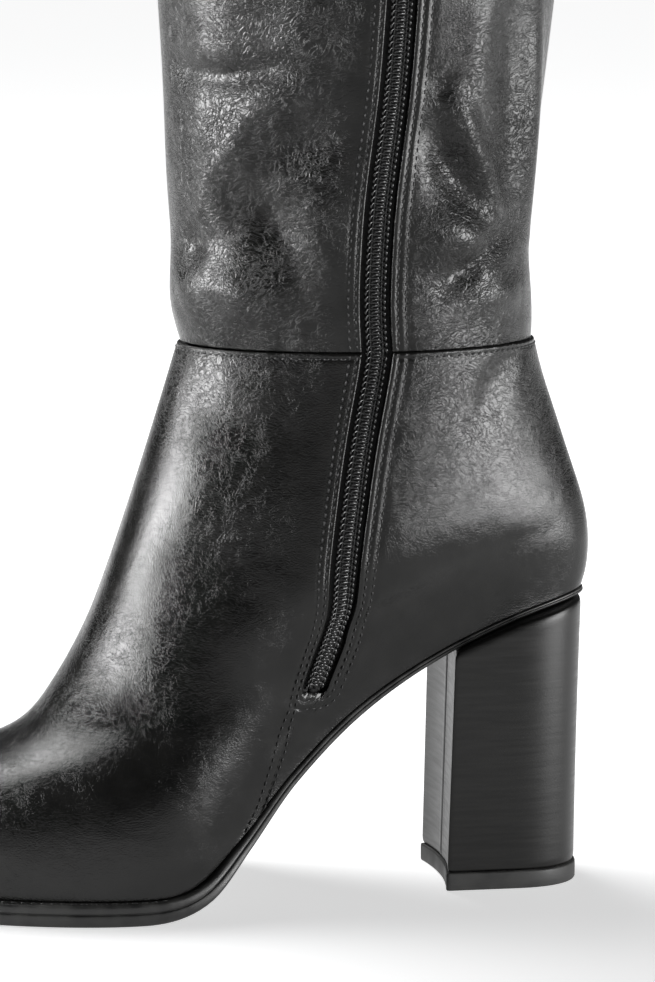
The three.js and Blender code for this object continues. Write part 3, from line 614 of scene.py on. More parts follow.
def make_mesh(
    name: str,
    points: Array,
    faces: Sequence[Array],
    materials: Sequence[Material],
    kinds: Sequence[int] | None = None,
) -> Thing:
    """Makes an object from points in mm and groups of faces.

    Args:
        name: Name of the object.
        points: Points, one a row.
        faces: Groups of faces of equally many corners.
        materials: The object's materials.
        kinds: For each group of faces, the number of its material.

    Returns:
        The object, linked to the scene.
    """
    mesh = bpy.data.meshes.new(name)
    mesh.from_pydata((points.reshape(-1, 3) * METRES).tolist(), [], [f for g in faces for f in g.tolist()])
    kinds = kinds if kinds is not None else [0] * len(faces)
    numbers = np.concatenate([np.full(len(g), k) for g, k in zip(faces, kinds)]).astype(np.int32)
    for material in materials:
        mesh.materials.append(material)
    mesh.polygons.foreach_set("material_index", numbers)
    mesh.polygons.foreach_set("use_smooth", np.full(len(numbers), True))
    mesh.update()
    thing = bpy.data.objects.new(name, mesh)
    bpy.context.scene.collection.objects.link(thing)
    return thing


def add_values(thing: Thing, name: str, values: Array) -> None:
    """Keeps one number for each point of a mesh, for its material to read."""
    attribute = thing.data.attributes.new(name, "FLOAT", "POINT")
    attribute.data.foreach_set("value", values.ravel().astype(np.float32))


def settle(thing: Thing, body: str = "boot", stands_for: Sequence[str] = ()) -> None:
    """Hides the solids that a piece stands for and hangs the piece on the body it rides on."""
    if stands_for:
        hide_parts(*stands_for)
    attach(thing, body)
    log.info("%s: %d faces", thing.name, len(thing.data.polygons))


def tube(path: Array, across: Array, out: Array, sides: int, offset: int = 0) -> tuple[Array, list[Array]]:
    """A closed tube along a path.

    Args:
        path: Points of its middle line.
        across: Half widths times the way to the side, at each point.
        out: Half heights times the way out, at each point.
        sides: Faces round it.
        offset: Number of its first point.

    Returns:
        Its points and its groups of faces.
    """
    angle = 2 * np.pi * np.arange(sides) / sides
    points = path[:, None] + np.cos(angle)[:, None] * across[:, None] + np.sin(angle)[:, None] * out[:, None]
    quads = sheet_faces(len(path), sides, True) + offset
    first = np.arange(sides)[::-1][None] + offset
    last = (np.arange(sides) + (len(path) - 1) * sides)[None] + offset
    return points.reshape(-1, 3), [quads, first, last]


def gathered(faces: Sequence[Array]) -> list[Array]:
    """Faces joined into one group for each number of corners, quads first."""
    corners = dict.fromkeys((4, *(group.shape[1] for group in faces)))
    return [np.concatenate([group for group in faces if group.shape[1] == count]) for count in corners]


def along_line(points: Array, pitch: float) -> tuple[Array, Array]:
    """Lengths of evenly spaced places along a line, and the line's own lengths at its points."""
    lengths = run_of(points)
    count = max(1, round(lengths[-1] / pitch))
    return (np.arange(count) + 0.5) * lengths[-1] / count, lengths


@dataclass(frozen=True)
class StitchRow:
    """A row of stitches: points of a line on a surface, and the surface's normals there."""

    points: Array
    normals: Array


@dataclass(frozen=True)
class Stitcher:
    """Makes rows of thread stitches."""

    pitch: float = 2.4
    length: float = 1.75
    radius: float = 0.26
    proud: float = 0.16
    sides: int = 6

    def mesh(self, name: str, rows: Sequence[StitchRow], material: Material) -> Thing:
        """Builds the stitches of several rows as one object.

        Args:
            name: Name of the object.
            rows: The rows.
            material: Finish of the thread.

        Returns:
            The object.
        """
        share = np.linspace(-1, 1, 6)
        rise = self.proud - (self.proud + 0.9 * self.radius) * np.abs(share) ** 2.6
        thick = self.radius * (1 - 0.42 * np.abs(share) ** 3)
        points, faces = [], []
        start = 0
        for row in rows:
            places, lengths = along_line(row.points, self.pitch)
            for place in places:
                at = place + share * self.length / 2
                middle = np.stack([np.interp(at, lengths, row.points[:, k]) for k in range(3)], -1)
                normal = unit(np.array([np.interp(place, lengths, row.normals[:, k]) for k in range(3)]))
                way = unit(middle[-1] - middle[0])
                side = np.cross(way, normal)
                ring, groups = tube(
                    middle + normal * rise[:, None],
                    side * thick[:, None],
                    normal * thick[:, None],
                    self.sides,
                    start,
                )
                points.append(ring)
                faces.extend(groups)
                start += len(ring)
        return make_mesh(name, np.concatenate(points), gathered(faces), [material])


class Nodes:
    """A short way to write a material's nodes."""

    def __init__(self, name: str) -> None:
        """Starts a material with its shader."""
        self.material = bpy.data.materials.new(name)
        self.material.use_nodes = True
        self.tree = self.material.node_tree
        self.shader = next(node for node in self.tree.nodes if node.type == "BSDF_PRINCIPLED")
        self.place = self.add("ShaderNodeTexCoord").outputs["Object"]

    def add(self, kind: str, **settings: object) -> bpy.types.Node:
        """Adds a node and sets its settings."""
        node = self.tree.nodes.new(kind)
        for name, value in settings.items():
            setattr(node, name, value)
        return node

    def link(self, value: object, socket: bpy.types.NodeSocket) -> None:
        """Feeds a socket from a number, a colour or another socket."""
        if isinstance(value, bpy.types.NodeSocket):
            self.tree.links.new(value, socket)
        else:
            socket.default_value = value

    def math(self, operation: str, first: object, second: object = 0.0) -> bpy.types.NodeSocket:
        """The result of a sum on one or two values."""
        node = self.add("ShaderNodeMath", operation=operation)
        self.link(first, node.inputs[0])
        self.link(second, node.inputs[1])
        return node.outputs[0]

    def mapped(
        self,
        scale: Triple,
        turn: Triple = (0, 0, 0),
        place: object = None,
    ) -> object:
        """Places turned and then scaled, so that what is drawn with them is drawn out along an axis."""
        turned = self.add("ShaderNodeMapping", vector_type="POINT")
        turned.inputs["Rotation"].default_value = turn
        self.link(self.place if place is None else place, turned.inputs["Vector"])
        scaled = self.add("ShaderNodeMapping", vector_type="POINT")
        scaled.inputs["Scale"].default_value = scale
        self.link(turned.outputs[0], scaled.inputs["Vector"])
        return scaled.outputs[0]

    def noise(self, scale: float, detail: float = 3.0, place: object = None, rough: float = 0.5) -> object:
        """Soft noise from 0 to 1."""
        node = self.add("ShaderNodeTexNoise", noise_dimensions="3D")
        node.inputs["Scale"].default_value = scale
        node.inputs["Detail"].default_value = detail
        node.inputs["Roughness"].default_value = rough
        self.link(self.place if place is None else place, node.inputs["Vector"])
        return node.outputs["Fac"]

    def folded(self, noise: object, width: float) -> object:
        """Creases along the lines on which a noise passes its middle: 0 in a crease and 1 beside it."""
        away = self.math("ABSOLUTE", self.math("SUBTRACT", noise, 0.5))
        return self.spread(away, 0.0, width)

    def cells(self, scale: float, place: object = None) -> object:
        """Distance to the edge of the nearest cell."""
        node = self.add("ShaderNodeTexVoronoi", feature="DISTANCE_TO_EDGE")
        node.inputs["Scale"].default_value = scale
        self.link(self.place if place is None else place, node.inputs["Vector"])
        return node.outputs["Distance"]

    def wobbled(self, scale: float, amount: float) -> object:
        """Places moved a little by noise."""
        noise = self.add("ShaderNodeTexNoise", noise_dimensions="3D")
        noise.inputs["Scale"].default_value = scale
        noise.inputs["Detail"].default_value = 2.0
        self.link(self.place, noise.inputs["Vector"])
        centred = self.add("ShaderNodeVectorMath", operation="SUBTRACT")
        self.link(noise.outputs["Color"], centred.inputs[0])
        centred.inputs[1].default_value = (0.5, 0.5, 0.5)
        sized = self.add("ShaderNodeVectorMath", operation="SCALE")
        self.link(centred.outputs[0], sized.inputs[0])
        sized.inputs["Scale"].default_value = amount
        moved = self.add("ShaderNodeVectorMath", operation="ADD")
        self.link(self.place, moved.inputs[0])
        self.link(sized.outputs[0], moved.inputs[1])
        return moved.outputs[0]

    def spread(
        self, value: object, low: float = 0.0, high: float = 1.0, to_low: float = 0.0, to_high: float = 1.0,
    ) -> object:
        """A value carried from one range to another, and kept inside it."""
        node = self.add("ShaderNodeMapRange", clamp=True)
        self.link(value, node.inputs["Value"])
        for name, number in zip(("From Min", "From Max", "To Min", "To Max"), (low, high, to_low, to_high)):
            node.inputs[name].default_value = number
        return node.outputs["Result"]

    def weighted(self, *heights: tuple[object, float]) -> object:
        """The sum of heights times their weights."""
        parts = [self.math("MULTIPLY", height, weight) for height, weight in heights]
        total = parts[0]
        for part in parts[1:]:
            total = self.math("ADD", total, part)
        return total

    def mixed(self, share: object, first: tuple[float, ...], second: tuple[float, ...]) -> object:
        """A colour between two."""
        node = self.add("ShaderNodeMix", data_type="RGBA")
        self.link(share, node.inputs["Factor"])
        node.inputs["A"].default_value = (*first, 1)
        node.inputs["B"].default_value = (*second, 1)
        return node.outputs["Result"]

    def value_of(self, name: str) -> object:
        """The number that a mesh keeps for each point under a name."""
        return self.add("ShaderNodeAttribute", attribute_name=name).outputs["Fac"]

    def bump(self, height: object, depth: float, strength: float = 1.0, before: object = None) -> object:
        """Adds relief to the shader's normal, or to an earlier bump's; its depth is in metres."""
        node = self.add("ShaderNodeBump")
        node.inputs["Distance"].default_value = depth
        node.inputs["Strength"].default_value = strength
        self.link(height, node.inputs["Height"])
        if before is not None:
            self.link(before, node.inputs["Normal"])
        return node.outputs["Normal"]

    def finish(self, **sockets: object) -> Material:
        """Feeds the shader's sockets, named with underscores, and returns the material."""
        for name, value in sockets.items():
            self.link(value, self.shader.inputs[name.replace("_", " ")])
        return self.material


@dataclass(frozen=True)
class GlossLeather:
    """Black glossy leather with fine crinkles where it bends."""

    name: str
    dark: Triple = (0.0028, 0.0028, 0.0026)
    light: Triple = (0.0065, 0.0064, 0.006)
    smooth_gloss: float = 0.19
    worn_gloss: float = 0.27
    crinkle_depth: float = 0.0002
    grain_depth: float = 0.000022
    crease_turn: Triple = (0.0, math.radians(-35), 0.0)
    cross_turn: Triple = (0.0, math.radians(50), 0.0)

    def material(self) -> Material:
        """Builds the nodes."""
        nodes = Nodes(self.name)
        bend = nodes.value_of("crinkle")
        swirl = nodes.wobbled(110.0, 0.009)
        patches = nodes.spread(nodes.noise(48.0, 3.0), 0.36, 0.6, 0.55, 1.0)
        strength = nodes.math("MULTIPLY", bend, patches)
        drawn = nodes.mapped((430.0, 430.0, 1100.0), self.crease_turn, swirl)
        wrinkles = nodes.folded(nodes.noise(1.0, 3.0, drawn, 0.6), 0.04)
        crossing = nodes.mapped((270.0, 270.0, 480.0), self.cross_turn, swirl)
        creases = nodes.folded(nodes.noise(1.0, 3.0, crossing, 0.55), 0.028)
        cells = nodes.spread(nodes.cells(520.0, swirl), 0.0, 0.1)
        relief = nodes.weighted((wrinkles, 0.4), (creases, 0.35), (cells, 0.25))
        relief = nodes.math("MULTIPLY", relief, strength)
        grain = nodes.spread(nodes.cells(1300.0), 0.0, 0.25)
        broad = nodes.bump(nodes.noise(130.0, 2.0), 0.0003, 0.6)
        creased = nodes.bump(relief, self.crinkle_depth, 1.0, broad)
        normal = nodes.bump(grain, self.grain_depth, 0.8, creased)
        shade = nodes.spread(nodes.noise(120.0, 4.0), 0.3, 0.7)
        dull = nodes.weighted((strength, 0.5), (shade, 0.5))
        return nodes.finish(
            Base_Color=nodes.mixed(shade, self.dark, self.light),
            Roughness=nodes.spread(dull, to_low=self.smooth_gloss, to_high=self.worn_gloss),
            Specular_IOR_Level=0.36,
            Normal=normal,
        )


@dataclass(frozen=True)
class SatinCover:
    """Smooth satin leather of the heel's cover, with a faint level grain."""

    name: str
    dark: Triple = (0.0036, 0.0035, 0.0033)
    light: Triple = (0.0072, 0.007, 0.0066)

    def material(self) -> Material:
        """Builds the nodes."""
        nodes = Nodes(self.name)
        level = nodes.noise(1.0, 4.0, nodes.mapped((60.0, 60.0, 900.0)), 0.6)
        fine = nodes.noise(1500.0, 3.0)
        grain = nodes.weighted((level, 0.6), (fine, 0.4))
        shade = nodes.spread(level, 0.35, 0.65)
        return nodes.finish(
            Base_Color=nodes.mixed(shade, self.dark, self.light),
            Roughness=nodes.spread(shade, to_low=0.34, to_high=0.42),
            Specular_IOR_Level=0.36,
            Normal=nodes.bump(grain, 0.00006, 0.7),
        )


@dataclass(frozen=True)
class BuffedRubber:
    """Black rubber: buffed and half glossy at the sole's edge, or matt."""

    name: str
    gloss: float = 0.3
    dull: float = 0.5
    dark: Triple = (0.008, 0.008, 0.008)
    light: Triple = (0.02, 0.02, 0.019)

    def material(self) -> Material:
        """Builds the nodes."""
        nodes = Nodes(self.name)
        cloud = nodes.spread(nodes.noise(160.0, 5.0), 0.35, 0.65)
        brushed = nodes.noise(1.0, 3.0, nodes.mapped((150.0, 150.0, 2400.0)), 0.6)
        grit = nodes.weighted((brushed, 0.5), (nodes.noise(1900.0), 0.5))
        return nodes.finish(
            Base_Color=nodes.mixed(cloud, self.dark, self.light),
            Roughness=nodes.spread(cloud, to_low=self.gloss, to_high=self.dull),
            Normal=nodes.bump(grit, 0.00005, 0.6),
        )


@dataclass(frozen=True)
class WovenCloth:
    """Dark woven cloth: the zip's tapes and the lining."""

    name: str
    dark: Triple
    light: Triple
    threads: float = 2100.0
    depth: float = 0.00009

    def material(self) -> Material:
        """Builds the nodes."""
        nodes = Nodes(self.name)
        parts = nodes.add("ShaderNodeSeparateXYZ")
        nodes.link(nodes.place, parts.inputs[0])
        round_way = nodes.math("ADD", parts.outputs["X"], parts.outputs["Y"])
        warp = nodes.math("SINE", nodes.math("MULTIPLY", round_way, self.threads * 3.0))
        weft = nodes.math("SINE", nodes.math("MULTIPLY", parts.outputs["Z"], self.threads * 3.0))
        weave = nodes.spread(nodes.math("MULTIPLY", warp, weft), -1.0)
        fuzz = nodes.noise(1400.0, 4.0)
        relief = nodes.weighted((weave, 0.7), (fuzz, 0.3))
        return nodes.finish(
            Base_Color=nodes.mixed(relief, self.dark, self.light),
            Roughness=nodes.spread(fuzz, 0.3, 0.7, 0.75, 0.95),
            Normal=nodes.bump(relief, self.depth, 0.8),
            Sheen_Weight=0.3,
            Sheen_Roughness=0.5,
        )


@dataclass(frozen=True)
class CoilNylon:
    """Shiny black nylon of the zip's coil and its sewing thread."""

    name: str
    gloss: float = 0.16
    colour: Triple = (0.008, 0.008, 0.008)

    def material(self) -> Material:
        """Builds the nodes."""
        nodes = Nodes(self.name)
        cloud = nodes.spread(nodes.noise(700.0, 3.0), 0.35, 0.65)
        paler = tuple(1.7 * part for part in self.colour)
        return nodes.finish(
            Base_Color=nodes.mixed(cloud, self.colour, paler),
            Roughness=nodes.spread(cloud, to_low=self.gloss, to_high=self.gloss + 0.1),
            Normal=nodes.bump(nodes.noise(3200.0, 2.0), 0.00002, 0.4),
        )


@dataclass(frozen=True)
class BlackenedMetal:
    """Dark plated metal of the slider, its tab and the stops."""

    name: str
    dark: Triple = (0.055, 0.054, 0.056)
    light: Triple = (0.11, 0.108, 0.11)

    def material(self) -> Material:
        """Builds the nodes."""
        nodes = Nodes(self.name)
        cloud = nodes.spread(nodes.noise(420.0, 5.0), 0.35, 0.7)
        scratch = nodes.noise(1.0, 3.0, nodes.mapped((2600.0, 2600.0, 160.0)), 0.6)
        return nodes.finish(
            Base_Color=nodes.mixed(cloud, self.dark, self.light),
            Metallic=1.0,
            Roughness=nodes.spread(cloud, to_low=0.2, to_high=0.34),
            Normal=nodes.bump(scratch, 0.00002, 0.5),
        )


class Finishes:
    """Every finish of the boot, built once."""

    def __init__(self) -> None:
        """Builds the materials."""
        self.upper = GlossLeather("upper_gloss_leather").material()
        self.shaft = GlossLeather(
            "shaft_gloss_leather",
            crinkle_depth=0.00026,
            crease_turn=(0.0, math.radians(14), 0.0),
        ).material()
        self.lining = WovenCloth("lining_cloth", (0.012, 0.011, 0.01), (0.03, 0.028, 0.026), 900.0).material()
        self.sock = GlossLeather(
            "sock_leather", (0.02, 0.018, 0.016), (0.034, 0.03, 0.027), 0.45, 0.6,
        ).material()
        self.sole = BuffedRubber("sole_rubber_buffed").material()
        self.tip = BuffedRubber("tip_rubber_matt", 0.5, 0.68, (0.013, 0.013, 0.013), (0.028, 0.028, 0.027)).material()
        self.heel = SatinCover("heel_cover_leather").material()
        self.tape = WovenCloth("zip_tape_cloth", (0.004, 0.004, 0.004), (0.013, 0.013, 0.013)).material()
        self.coil = CoilNylon("zip_coil_nylon").material()
        self.thread = CoilNylon("sewing_thread", 0.42, (0.006, 0.006, 0.006)).material()
        self.metal = BlackenedMetal("zip_metal_dark").material()


@dataclass
class LeatherPart:
    """What the foot part and the shaft share: a leather wall cut by the zip's slot."""

    form: BootForm
    slot: ZipSlot
    relief: SkinRelief
    finishes: Finishes
    around: int = 250
    beside: tuple[float, ...] = (0.14, 0.34, 0.6, 0.9, 1.3, 1.75, 2.25, 2.8, 3.4, 4.1, 4.9, 5.9, 7.2, 8.8)
    inside: tuple[float, ...] = (0.14, 0.34, 0.65, 1.1, 1.7, 2.4, 3.2, 4.0)
    front_rows: tuple[float, float] = (1.3, 3.4)
    back_rows: tuple[float, float] = (2.0, 4.5)
    row_depth: float = 0.26
    row_width: float = 0.5
    puff: float = 0.1
    puff_width: float = 0.8
    calm_gap: float = 4.0
    calm_width: float = 9.0
    calm_crinkle: float = 0.25

    def ways_across(self) -> Array:
        """Columns near the zip, as ways across its centre line."""
        half = self.slot.width / 2
        outward = [half + b for b in self.beside]
        inward = [half - b for b in self.inside]
        right = sorted([0.0, half, *outward, *inward])
        left = [-value for value in reversed(right) if value > 0]
        return np.array(left + right)

    def column_turns(self, heights: Array) -> Array:
        """Turns of every column at each height, from the slot's back side round to its front side."""
        across = self.ways_across()
        centre = self.form.zip_turn(heights)
        sample = np.linspace(-0.6, 0.6, 121)
        turns = centre[:, None] + sample[None]
        points = self.form.skin(heights[:, None], turns)
        _, ways = self.slot.local(points)
        near = np.empty((len(heights), len(across)))
        for k in range(len(heights)):
            good = ways[k] < 500
            near[k] = np.interp(across, ways[k][good], turns[k][good])
        near = self.bent_columns(heights, near, across)
        spread_share = np.linspace(0, 1, self.around + 2)[1:-1]
        start = near[:, -1:]
        end = near[:, :1] + 2 * np.pi
        far = start + (end - start) * spread_share[None]
        return np.concatenate([near, far], axis=1)

    def bent_columns(self, heights: Array, near: Array, across: Array) -> Array:
        """Lets a part bend its columns near the zip; as it is, they follow the zip."""
        return near

    def seam_lines(self, along: Array, across: Array, outside: Array) -> Array:
        """How far the stitch rows beside the zip pull the leather in."""
        total = np.zeros_like(outside)
        for side, rows in ((Side.FRONT, self.front_rows), (Side.BACK, self.back_rows)):
            here = (across > 0) | (along < 0) if side is Side.BACK else (across < 0) & (along > -0.5)
            for row in rows:
                near = np.where(here, np.abs(outside - row), np.inf)
                total -= self.row_depth * np.exp(-((near / self.row_width) ** 2))
            middle = sum(rows) / 2
            total += np.where(here, self.puff * np.exp(-(((outside - middle) / self.puff_width) ** 2)), 0)
        return total

    def roll(self, distance: Array, radius: float) -> Array:
        """How far a folded edge turns in, at a distance from the edge."""
        inside = np.clip(radius - distance, 0, radius)
        return -(radius - np.sqrt(np.maximum(radius**2 - inside**2, 0)))

    def heights(self) -> Array:
        """Heights of the part's rows."""
        raise NotImplementedError

    def surface(self, height: Array, turn: Array) -> tuple[Array, Array, Array]:
        """Points of the finished skin, points of its form with soft folds alone, and normals."""
        raise NotImplementedError

    def build(self, name: str, leather: Material) -> Thing:
        """Builds the part as one closed wall with its lining side, cut by the zip's slot.

        Args:
            name: Name of the object.
            leather: Finish of the outside.

        Returns:
            The object.
        """
        heights = self.heights()
        turns = self.column_turns(heights)
        rows, columns = turns.shape
        grid = np.broadcast_to(heights[:, None], turns.shape).copy()
        form, slot = self.form, self.slot
        along, across = slot.local(form.skin(grid, turns))
        outside = slot.outside(along, across)
        quads = sheet_faces(rows, columns, True)
        kept = outside.ravel()[quads].mean(axis=1) > 0
        used_kept = np.zeros(rows * columns, bool)
        used_cut = np.zeros(rows * columns, bool)
        used_kept[quads[kept].ravel()] = True
        used_cut[quads[~kept].ravel()] = True
        edge = (used_kept & used_cut).reshape(turns.shape)
        along_to, across_to = slot.snapped(along[edge], across[edge])
        snapped_up, snapped_turn = slot.places(along_to, across_to)
        low, high = heights[0], heights[-1]
        between = (grid[edge] > low) & (grid[edge] < high)
        grid[edge] = np.where(between, np.clip(snapped_up, low, high), grid[edge])
        turns[edge] = snapped_turn
        skin, draped, normals = self.surface(grid, turns)
        lining = draped - normals * form.wall
        points = np.concatenate([skin.reshape(-1, 3), lining.reshape(-1, 3)])
        count = rows * columns
        quads = quads[kept]
        inner = quads[:, ::-1] + count
        sides = np.concatenate([quads[:, [k, (k + 1) % 4]] for k in range(4)])
        forward = sides[:, 0].astype(np.int64) * count + sides[:, 1]
        backward = sides[:, 1].astype(np.int64) * count + sides[:, 0]
        rim = sides[~np.isin(forward, backward)]
        walls = np.stack([rim[:, 1], rim[:, 0], rim[:, 0] + count, rim[:, 1] + count], -1)
        used = np.zeros(2 * count, bool)
        for group in (quads, inner, walls):
            used[group.ravel()] = True
        number = np.cumsum(used) - 1
        groups = [number[group] for group in (quads, inner, walls)]
        thing = make_mesh(name, points[used], groups, [leather, self.finishes.lining], [0, 1, 0])
        crinkle = self.relief.crinkle(form.skin(grid, turns))
        calm = ease((outside - self.calm_gap) / self.calm_width)
        crinkle = crinkle * (self.calm_crinkle + (1 - self.calm_crinkle) * calm)
        add_values(thing, "crinkle", np.concatenate([crinkle.ravel(), 0 * crinkle.ravel()])[used])
        return thing


@dataclass
class FootPart(LeatherPart):
    """The foot part of the upper, with the vamp's lap under the zip."""

    rows: int = 118
    seam: TableCurve = field(default_factory=lambda: TableCurve(
        [(0, 1.701), (0.042, 1.747), (0.083, 1.785), (0.15, 1.822), (0.2, 1.83)], Slopes.STEADY,
    ))
    front_seam_row: tuple[tuple[float, float], ...] = ((0.17, 1.79), (0.095, 1.746), (0.036, 1.69), (0.004, 1.645))
    back_seam_row: tuple[tuple[float, float], ...] = ((0.15, 1.808), (0.083, 1.774), (0.042, 1.736), (0.004, 1.694))
    seam_top: float = 0.125
    seam_rows: tuple[float, float] = (1.0, 3.2)
    lap: float = 0.5
    lap_reach: tuple[float, float] = (11.0, 4.0)
    top_fold: float = 0.7
    top_row: float = 1.7
    top_row_clear: float = 5.2
    zip_row_end: float = 1.2
    zip_row_steps: int = 60
    top_row_steps: int = 260

    def heights(self) -> Array:
        """Heights of the rows, close together at the slot's end and at the folded top."""
        even = np.linspace(0, 1, self.rows)
        even = 0.62 * even + 0.38 * even**2
        slot_end = [np.linspace(*span) for span in ((0.1, 0.13, 7), (0.133, 0.15, 14), (0.153, 0.176, 6))]
        under_top = np.array([0, 0.04, 0.1, 0.18, 0.28, 0.4, 0.55, 0.75, 1.0, 1.3, 1.7, 2.2, 2.7])
        far = even[(even > 0.008) & ((even < 0.097) | (even > 0.178)) & (even < 0.958)]
        return np.unique(np.concatenate([[0.0, 0.002, 0.005], far, *slot_end, 1 - under_top / self.form.ankle_rise]))

    def bent_columns(self, heights: Array, near: Array, across: Array) -> Array:
        """Under the slot the columns follow the vamp's seam."""
        size = np.linalg.norm(self.form.ways(heights, self.seam(heights))[0], axis=-1)
        along_seam = self.seam(heights)[:, None] + (across + self.slot.width / 2)[None] / size[:, None]
        share = ease((self.seam_top + 0.004 - heights) / 0.035)[:, None]
        return near * (1 - share) + along_seam * share

    def seam_side(self, height: Array, turn: Array) -> Array:
        """Ways from the vamp's seam, below zero on the vamp."""
        size = np.linalg.norm(self.form.ways(height, self.seam(height))[0], axis=-1)
        return (turn - self.seam(height)) * size

    def detail(self, height: Array, turn: Array, points: Array) -> Array:
        """How far seams, laps and folded edges push the skin out, in mm."""
        along, across = self.slot.local(points)
        outside = self.slot.outside(along, across)
        total = self.roll(np.maximum(outside, 0), self.slot.fold_radius) * (along > -2)
        total = total + self.seam_lines(along, across, outside) * ease((along + 7) / 3)
        side = self.seam_side(height, turn)
        below = ease((self.seam_top - height) / 0.03) * (np.abs(side) < 60)
        near = np.exp(-((side / np.where(side < 0, *self.lap_reach)) ** 2))
        step = np.where(side < 0, self.lap + self.roll(np.maximum(-side, 0), self.lap * 1.4), -0.3 * self.lap)
        rows = -self.row_depth * sum(np.exp(-(((side + row) / self.row_width) ** 2)) for row in self.seam_rows)
        total = total + below * (step * near + rows)
        from_top = (1 - height) * self.top_scale(turn)
        total = total + self.roll(from_top, self.top_fold)
        total = total - 0.2 * np.exp(-(((from_top - self.top_row) / 0.5) ** 2))
        return total

    def top_scale(self, turn: Array) -> Array:
        """Length in mm of a unit of height just under the folded top, at turns."""
        return np.linalg.norm(self.form.ways(np.full_like(turn, 0.995), turn)[1], axis=-1)

    def surface(self, height: Array, turn: Array) -> tuple[Array, Array, Array]:
        """Points of the finished skin, points of its form with soft folds alone, and normals."""
        height, turn = paired(height, turn)
        smooth = self.form.foot(height, turn)
        normals = self.form.normals(np.minimum(height, 1 - 1e-4), turn)
        level = (height < 1e-3)[..., None]
        flat = unit(normals * LEVEL)
        normals = np.where(level, flat, normals)
        soft = self.relief.soft(smooth) * ease(height / 0.05) * ease((1 - height) / 0.05)
        draped = smooth + normals * soft[..., None]
        skin = draped + normals * self.detail(height, turn, smooth)[..., None]
        return skin, draped, normals

    def stitch_rows(self) -> list[StitchRow]:
        """Rows beside the zip, round its lower end, down the vamp's seam and under the folded top."""
        top = self.slot.length_at(1) - self.zip_row_end
        half, corner, steps = self.slot.width / 2, self.slot.corner, self.zip_row_steps
        rows = []
        for row, seam in zip(self.front_rows, (self.back_seam_row, self.front_seam_row)):
            beside = self.slot.places(np.linspace(top, 2.0, steps), np.full(steps, -(half + row)))
            rows.append(tuple(np.concatenate(pair) for pair in zip(beside, np.array(seam).T)))
        angles = np.linspace(0, np.pi / 2, 9)[1:]
        under = np.linspace(half - corner, -half + 1.8, 7)[1:]
        for row in self.back_rows:
            bend = row + corner
            lengths = [np.linspace(top, 1.7, steps), corner - bend * np.sin(angles), np.full(len(under), -row)]
            ways = [np.full(steps, half + row), half - corner + bend * np.cos(angles), under]
            rows.append(self.slot.places(np.concatenate(lengths), np.concatenate(ways)))
        clear = half + self.top_row_clear
        ends = self.slot.length_at(1 - self.top_row / self.form.ankle_rise)
        _, turns = self.slot.places(np.array([ends, ends]), np.array([clear, self.zip_row_end - clear]))
        round_turns = np.linspace(turns[0], turns[1] + 2 * np.pi, self.top_row_steps)
        rows.append((1 - self.top_row / self.top_scale(round_turns), round_turns))
        return [self._row(up, turn) for up, turn in rows]

    def _row(self, up: Array, turn: Array) -> StitchRow:
        """A stitch row through heights and turns, evenly sampled."""
        steps = np.arange(len(up))
        fine = np.linspace(0, len(up) - 1, 4 * len(up))
        up, turn = np.interp(fine, steps, up), np.interp(fine, steps, turn)
        skin, _, normals = self.surface(np.clip(up, 0.002, 0.999), turn)
        return StitchRow(skin, normals)


